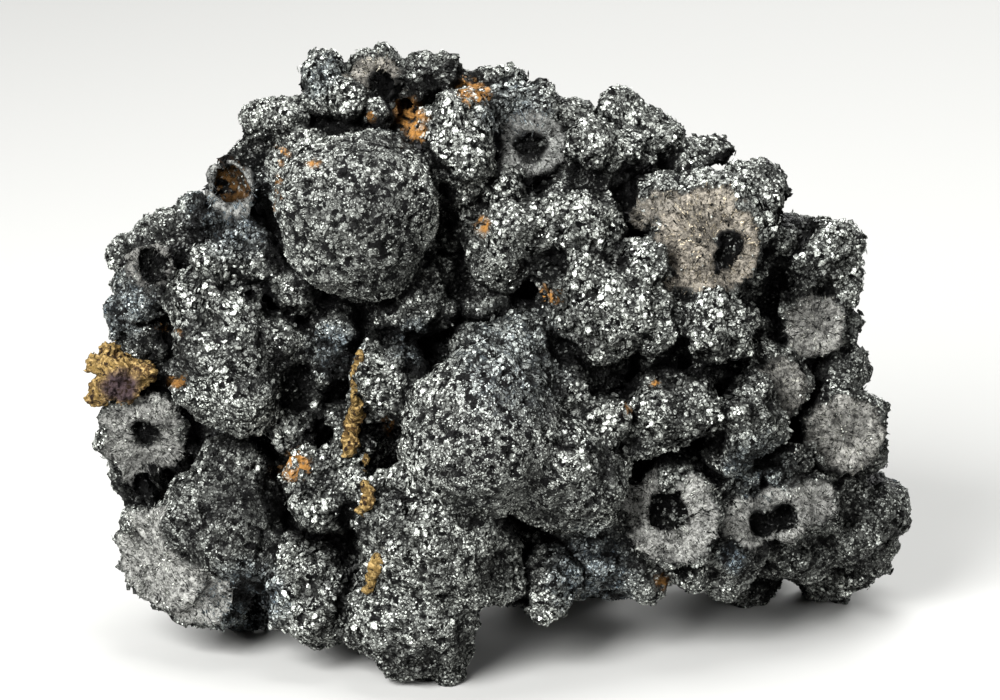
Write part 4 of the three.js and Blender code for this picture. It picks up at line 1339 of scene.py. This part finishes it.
def pores_and_creases():
    group, given, out = new_group(
        "pores and creases",
        [("Spongy", "NodeSocketFloat", 0.0)],
        [("Open", "NodeSocketFloat")],
    )
    place = position(group)
    spongy = noise(group, place, PORE_SCALE, 2.0, 0.6)
    spongy = math_node(group, "MULTIPLY_ADD", given.outputs["Spongy"], -0.04, spongy)
    # Open is 0 in a pore or crease, painted black as shade, and 1 elsewhere.
    pore = stretch(group, spongy, 0.375, 0.405, 0.0, 1.0)
    middle = math_node(group, "SUBTRACT", noise(group, place, CREASE_SCALE, 2.0, 0.65), 0.5)
    crease = stretch(group, math_node(group, "ABSOLUTE", middle), 0.008, 0.028, 0.04, 1.0)
    group.links.new(math_node(group, "MULTIPLY", pore, crease), out.inputs["Open"])
    return group


PORES = pores_and_creases()
print(len(PORES.nodes), "nodes open its pores")

# %% [markdown]
# **Fibres.** Noise read along the direction from the globe's heart, fine and coarse, gives streaks
# of light and dark and the height of the ridges between them, and a fine grit breaks them up. The
# distance from the heart is the noise's fourth number and changes slowly, so that a fibre ends
# after a few millimetres.

# %% Fibres group
GRIT_SCALE = 1500.0


def fibre_streaks():
    group, given, out = new_group(
        "fibre streaks",
        [
            ("Direction", "NodeSocketVector", (0, 0, 1)),
            ("Distance", "NodeSocketFloat", 0.0),
            ("Fineness", "NodeSocketFloat", 14.0),
        ],
        [("Streak", "NodeSocketFloat"), ("Height", "NodeSocketFloat")],
    )
    layers = []
    for times in (1.0, 3.0):
        node = add_node(group, "ShaderNodeTexNoise", noise_dimensions="4D")
        group.links.new(given.outputs["Direction"], node.inputs["Vector"])
        group.links.new(given.outputs["Distance"], node.inputs["W"])
        fineness = math_node(group, "MULTIPLY", given.outputs["Fineness"], times)
        group.links.new(fineness, node.inputs["Scale"])
        node.inputs["Detail"].default_value = 2.0
        layers.append(node.outputs["Fac"])
    streak = math_node(group, "MULTIPLY_ADD", layers[1], 0.5, math_node(group, "MULTIPLY", layers[0], 0.5))
    grit = noise(group, position(group), GRIT_SCALE, 3.0, 0.6)
    both = math_node(group, "MULTIPLY_ADD", grit, 0.45, math_node(group, "MULTIPLY", streak, 0.55))
    group.links.new(stretch(group, both, 0.38, 0.6), out.inputs["Streak"])
    group.links.new(math_node(group, "MULTIPLY_ADD", grit, 0.6, streak), out.inputs["Height"])
    return group


FIBRE_STREAKS = fibre_streaks()
print(len(FIBRE_STREAKS.nodes), "nodes draw its fibres")

# %% [markdown]
# ## Materials
# The crust is metal, broken into plates. The skin under it is the same mineral, kept darker and with
# painted shade in its pores so that gaps between grains read as shade; it turns into the fibrous
# inside wherever a globe is broken. On the crust the plates' lean goes straight to the shader as its
# normal, which costs far less time than the bump of a height. On the skin a bump lays the ridges of the
# fibres over it.

# %% Material helpers
SPECULAR = 0.12


def new_material(name):
    material = bpy.data.materials.new(name)
    material.use_nodes = True
    tree = material.node_tree
    shader = tree.nodes["Principled BSDF"]
    shader.inputs["Specular IOR Level"].default_value = SPECULAR
    return material, tree, shader


def use_group(tree, group, **given):
    node = add_node(tree, "ShaderNodeGroup", node_tree=group)
    for key, value in given.items():
        set_or_link(tree, node.inputs[key], value)
    return node


def bump(tree, shader, height, strength, distance, normal=None):
    node = add_node(tree, "ShaderNodeBump")
    if normal:
        tree.links.new(normal, node.inputs["Normal"])
    node.inputs["Strength"].default_value = strength
    node.inputs["Distance"].default_value = distance
    tree.links.new(height, node.inputs["Height"])
    tree.links.new(node.outputs["Normal"], shader.inputs["Normal"])


def crust_looks(tree, keys, size, lean, crack_width):
    """The plates and pores of a surface, and what the metal's tones read there."""
    given = {key.capitalize(): attribute(tree, key) for key in keys}
    plates = use_group(tree, PLATES, **{"Size": size, "Lean": lean, "Crack width": crack_width})
    pores = use_group(tree, PORES, Spongy=attribute(tree, "dull"))
    given.update({key: plates.outputs[key] for key in ("Plate", "Crack")}, Open=pores.outputs["Open"])
    return given, plates.outputs["Normal"]


# %% Crust material
CRUST_KEYS = ("shade", "proud", "dull", "dark", "film", "rust", "brown", "crevice")
CRUST_PLATES, CRUST_CRACKS = 2300.0, 0.14


def crust_material():
    material, tree, shader = new_material("miargyrite_crust")
    lean = math_node(tree, "MULTIPLY_ADD", attribute(tree, "dull"), -0.6, 0.9)
    given, leaning = crust_looks(tree, CRUST_KEYS, CRUST_PLATES, lean, CRUST_CRACKS)
    tones = use_group(tree, METAL_TONES, **given)
    for output, socket in (("Color", "Base Color"), ("Metallic", "Metallic"), ("Roughness", "Roughness")):
        tree.links.new(tones.outputs[output], shader.inputs[socket])
    tree.links.new(leaning, shader.inputs["Normal"])
    return material


CRUST = crust_material()
print("material", CRUST.name)

# %% Skin material
SKIN_KEYS = ("dull", "dark", "film", "rust", "crevice")
SKIN_PLATES, SKIN_CRACKS = 1700.0, 0.2
FIBRE_DARK, FIBRE_LIGHT = (0.012, 0.012, 0.011, 1), (0.37, 0.375, 0.355, 1)
BROWN_DARK, BROWN_LIGHT = (0.016, 0.013, 0.010, 1), (0.36, 0.325, 0.27, 1)
FACE_PATCHES = 330.0
RIDGE_STRENGTH, RIDGE_HEIGHT = 0.9, 0.0005


def skin_material():
    material, tree, shader = new_material("miargyrite_skin")
    given, leaning = crust_looks(tree, SKIN_KEYS, SKIN_PLATES, 1.0, SKIN_CRACKS)
    # The skin takes a low shade, so that where grains leave it bare it reads as painted shade.
    tones = use_group(tree, METAL_TONES, Shade=0.3, Proud=0.5, **given)
    ray, run = attribute(tree, "ray", "Vector"), attribute(tree, "run")
    fibres = use_group(tree, FIBRE_STREAKS, Direction=ray, Distance=run)
    broken = attribute(tree, "fracture")
    streak = fibres.outputs["Streak"]
    grey = mix_colour(tree, streak, FIBRE_DARK, FIBRE_LIGHT)
    brown = mix_colour(tree, streak, BROWN_DARK, BROWN_LIGHT)
    inside = mix_colour(tree, attribute(tree, "brown"), grey, brown)
    patches = stretch(tree, noise(tree, position(tree), FACE_PATCHES, 4.0, 0.6), 0.35, 0.65, 0.45, 1.35)
    # The painted shade of pores darkens broken faces too.
    marks = math_node(tree, "MULTIPLY_ADD", given["Open"], 0.6, 0.4)
    patches = math_node(tree, "MULTIPLY", patches, marks)
    light = math_node(tree, "MULTIPLY_ADD", attribute(tree, "light"), 1.1, 0.45)
    light = math_node(tree, "MULTIPLY", light, patches)
    # Painted shade on broken faces: they go black deep between globes and in hollows.
    shut = math_node(tree, "MULTIPLY_ADD", attribute(tree, "crevice"), -1.0, 1.0, clamp=True)
    inside = mix_colour(tree, math_node(tree, "MULTIPLY", light, shut), BLACK, inside)
    tree.links.new(mix_colour(tree, broken, tones.outputs["Color"], inside), shader.inputs["Base Color"])
    metal = math_node(tree, "MULTIPLY_ADD", broken, -0.5, tones.outputs["Metallic"], clamp=True)
    tree.links.new(metal, shader.inputs["Metallic"])
    matte = math_node(tree, "MULTIPLY_ADD", broken, 0.08, tones.outputs["Roughness"])
    tree.links.new(matte, shader.inputs["Roughness"])
    bump(tree, shader, fibres.outputs["Height"], RIDGE_STRENGTH, RIDGE_HEIGHT, leaning)
    return material


SKIN = skin_material()
print("material", SKIN.name)

# %% [markdown]
# ## The specimen's pieces
# Skin and crust are parted by where they lie, only to keep each piece a size that can be exported.

# %% Skin pieces
skin_values = {
    "dull": nature["dull"],
    "dark": nature["dark"],
    "film": nature["film"] * 0.6,
    "rust": nature["rust"],
    # Painted shade of the skin: deeper than the crust's and black in its pits; on broken faces only between
    # globes.
    "crevice": np.clip(crevice * 1.1 + 0.1 + sunk, 0, 1) * (1 - fracture) + crevice * fracture,
    "fracture": fracture,
    "light": light_face,
    "brown": brown_face,
    "run": run * 0.35,
}
for i, (used, faces) in enumerate(parted(skin, skin_faces, 2)):
    part_values = {key: value[used] for key, value in skin_values.items()}
    piece = add_piece(f"skin_{i + 1}", skin[used], [faces], SKIN, part_values, [("ray", ray[used])])
    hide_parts("miargyrite_cluster")

# %% Crust pieces
MOST_TRIANGLES = 180000
OFF_GROUND = 0.02
BACK_Y, SET_APART = 4, 200


def add_crust(name, corners, sides, values):
    """Pyramids on so many sides, in pieces that can be exported: the front, then the back."""
    corners[..., 2] = np.maximum(corners[..., 2], OFF_GROUND)
    each = sides + 1
    order = np.argsort(corners[:, 0, 0] + SET_APART * (corners[:, 0, 1] > BACK_Y))
    for i, part in enumerate(np.array_split(order, math.ceil(len(order) * sides / MOST_TRIANGLES))):
        first = each * np.arange(len(part))[:, None]
        face_sets = [np.concatenate([first + [k, (k + 1) % sides, sides] for k in range(sides)])]
        keys = ("shade", "dull", "dark", "film", "rust", "crevice", "brown")
        part_values = {key: np.repeat(values[key][part], each) for key in keys}
        # Proud runs from 0 at each grain's foot to 1 at its tip; the materials paint shade at the foot by
        # it.
        part_values["proud"] = np.tile([0.0] * sides + [1.0], len(part))
        piece = add_piece(f"{name}_{i + 1}", corners[part].reshape(-1, 3), face_sets, CRUST, part_values)
        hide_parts("miargyrite_cluster")


add_crust("grains", grain_corners, 4, grain_looks)
add_crust("scales", scale_corners, 5, scale_looks)
add_crust("blades", blade_corners, 4, blade_looks)

# %% [markdown]
# ## Ochre
# The knob on the left edge and the seams are earthy iron ochre. They get the same treatment as the
# mass, a field and a net with ledges, but on a lattice of their own that is fine enough for their
# grain. A dark purple stain lies low on the knob.

# %% Ochre pieces
KNOB = [
    [-49.0, 36.3, 5, 1.3],
    [-49.9, 34.7, 5, 1.8],
    [-47.8, 33.8, 6, 2.4],
    [-45.4, 33.4, 6, 2.0],
    [-48.8, 32.2, 5, 2.1],
    [-46.5, 32.0, 6, 1.9],
    [-50.2, 30.9, 5, 1.3],
    [-44.1, 33.8, 7, 1.1],
]
UPPER_SEAM = [
    [-17.4, 35.9, 0.5],
    [-17.8, 33.7, 0.9],
    [-18.1, 31.4, 0.7],
    [-18.0, 29.2, 0.9],
    [-18.5, 27.1, 1.2],
    [-18.8, 25.0, 1.1],
    [-18.9, 23.2, 0.8],
]
LOWER_SEAM = [
    [-15.8, 24.4, 0.7],
    [-16.7, 22.8, 0.6],
    [-17.2, 20.9, 0.5],
    [-16.5, 18.8, 0.8],
    [-16.7, 17.4, 1.0],
    [-17.5, 16.3, 0.8],
]
FOOT_SEAM = [
    [-15.4, 10.1, 0.8],
    [-15.9, 8.4, 0.9],
    [-16.6, 6.5, 0.8],
]
SEAM_PROUD, SEAM_SLIM, SEAM_ROUGH = 0.6, 0.86, 1.7
KNOB_ROUGH = 3.0
OCHRE_STEP, OCHRE_MARGIN, OCHRE_LEAST = 0.2, 1.2, 40
GRIT_SIZE, GRIT_HEIGHT = 0.4, 0.4
STAIN_AT, STAIN_FADE, STAIN_STRAY = (-47.4, 32.0), 1.4, 2.4


def seam_grains(marks):
    """Points along a seam, proud of what stands there, with others between to bridge the gaps."""
    marks = np.array(marks)
    fore = front_at(marks[:, :2]) + SEAM_PROUD * marks[:, 2]
    centres, radii = in_piece(np.stack([marks[:, 0], marks[:, 1], fore, SEAM_SLIM * marks[:, 2]], 1))
    share = np.linspace(0, 1, 6)[:-1]
    between = centres[:-1, None] + (centres[1:] - centres[:-1])[:, None] * share[:, None]
    widths = radii[:-1, None] + (radii[1:] - radii[:-1])[:, None] * share
    return between.reshape(-1, 3), widths.ravel()


def ochre_piece(name, centres, radii, material, roughness):
    corner = centres.min(0) - radii.max() - OCHRE_MARGIN
    size = np.ceil((centres.max(0) + radii.max() + OCHRE_MARGIN - corner) / OCHRE_STEP).astype(int)
    axes = [corner[k] + OCHRE_STEP * np.arange(size[k]) for k in range(3)]
    points = np.stack(np.meshgrid(*axes, indexing="ij"), -1)
    values = np.full(size, FAR_OFF)
    for centre, radius in zip(centres, radii):
        values = np.minimum(values, np.linalg.norm(points - centre, axis=-1) - radius)
    flat = points.reshape(-1, 3)
    ragged = 0.7 * ledges(flat, 1.7, 30, 8) + 0.5 * rough_noise(flat, 0.8, 31) - 0.6
    values = values + roughness * ragged.reshape(size)
    net, faces = sheets(*surface_net(values, corner, OCHRE_STEP), OCHRE_LEAST)
    grit = GRIT_HEIGHT * (lattice_noise(net, GRIT_SIZE, 40) - 0.5)
    net = net + corner_normals(net, faces) * grit[:, None]
    view = in_view(net)
    away = np.hypot(view[:, 0] - STAIN_AT[0], view[:, 1] - STAIN_AT[1])
    away += STAIN_STRAY * (rough_noise(net, 1.6, 41) - 0.5)
    stain = np.clip(2.0 - away / STAIN_FADE, 0, 1)
    piece = add_piece(name, net, [faces], material, {"purple": stain})
    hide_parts(name)


def ochre_material():
    material, tree, shader = new_material("ochre_earth")
    place = position(tree)
    patches = stretch(tree, noise(tree, place, 420.0, 4.0, 0.65), 0.35, 0.65)
    tone = mix_colour(tree, patches, (0.04, 0.02, 0.006, 1), (0.15, 0.098, 0.03, 1))
    specks = stretch(tree, noise(tree, place, 1900.0, 3.0, 0.6), 0.48, 0.68)
    tone = mix_colour(tree, specks, tone, (0.34, 0.235, 0.095, 1))
    tone = mix_colour(tree, attribute(tree, "purple"), tone, (0.042, 0.028, 0.03, 1))
    # Painted shade: near-black holes where a noise is low.
    hole_shade = stretch(tree, noise(tree, place, 1300.0, 3.0, 0.6), 0.4, 0.47)
    tone = mix_colour(tree, hole_shade, (0.012, 0.006, 0.003, 1), tone)
    tree.links.new(tone, shader.inputs["Base Color"])
    shader.inputs["Roughness"].default_value = 0.85
    bump(tree, shader, noise(tree, place, 1700.0, 4.0, 0.65), 1.0, 0.0006)
    return material


OCHRE = ochre_material()
ochre_piece("ochre_knob", *in_piece(KNOB), OCHRE, KNOB_ROUGH)
for seam_name, marks in (
    ("ochre_upper_seam", UPPER_SEAM),
    ("ochre_lower_seam", LOWER_SEAM),
    ("ochre_foot_seam", FOOT_SEAM),
):
    ochre_piece(seam_name, *seam_grains(marks), OCHRE, SEAM_ROUGH)

# %% [markdown]
# ## Floor and light
# A pale floor that runs far back, a large soft light high at the left, a wide one overhead, and two
# weak ones that fill the right and the back. The metal shows mostly what it reflects, so the size
# of the lights sets how many facets flash.

# %% Floor
FLOOR_SIZE = 8.0
FLOOR_GREY = (0.38, 0.38, 0.37, 1)
FLOOR_ROUGHNESS = 0.75


def floor_material():
    material, tree, shader = new_material("pale_floor")
    shader.inputs["Base Color"].default_value = FLOOR_GREY
    shader.inputs["Roughness"].default_value = FLOOR_ROUGHNESS
    return material


bpy.ops.mesh.primitive_plane_add(size=FLOOR_SIZE, location=(0, 0, 0))
floor = bpy.context.object
floor.name = "floor"
floor.data.materials.append(floor_material())

# %% Lights
# name, place in metres, width and height, watts
LAMPS = [
    ("key", (-0.30, -0.52, 0.42), (0.34, 0.34), 17.5),
    ("top", (0.04, 0.02, 0.62), (0.36, 0.30), 5.0),
    ("fill", (0.50, -0.50, 0.28), (0.25, 0.25), 1.6),
    ("rear", (0.22, 0.60, 0.40), (0.40, 0.30), 3.0),
]
WORLD_GREY, WORLD_STRENGTH = (0.62, 0.63, 0.62, 1), 0.16


def add_light(name, location, size, power):
    data = bpy.data.lights.new(name, "AREA")
    data.shape = "RECTANGLE"
    data.size, data.size_y = size
    data.energy = power
    lamp = bpy.data.objects.new(name, data)
    lamp.location = location
    lamp.rotation_euler = (Vector(location) - aim).to_track_quat("Z", "Y").to_euler()
    bpy.context.scene.collection.objects.link(lamp)


for lamp in LAMPS:
    add_light(*lamp)
meshes = [item.data for item in bpy.data.objects if item.type == "MESH"]
print(sum(len(mesh.loops) - 2 * len(mesh.polygons) for mesh in meshes), "triangles in all")
world = bpy.data.worlds.new("world")
bpy.context.scene.world = world
world.use_nodes = True
background = world.node_tree.nodes["Background"]
background.inputs["Color"].default_value = WORLD_GREY
background.inputs["Strength"].default_value = WORLD_STRENGTH
bpy.context.scene.view_settings.view_transform = "Standard"
print("lights and floor are in place")
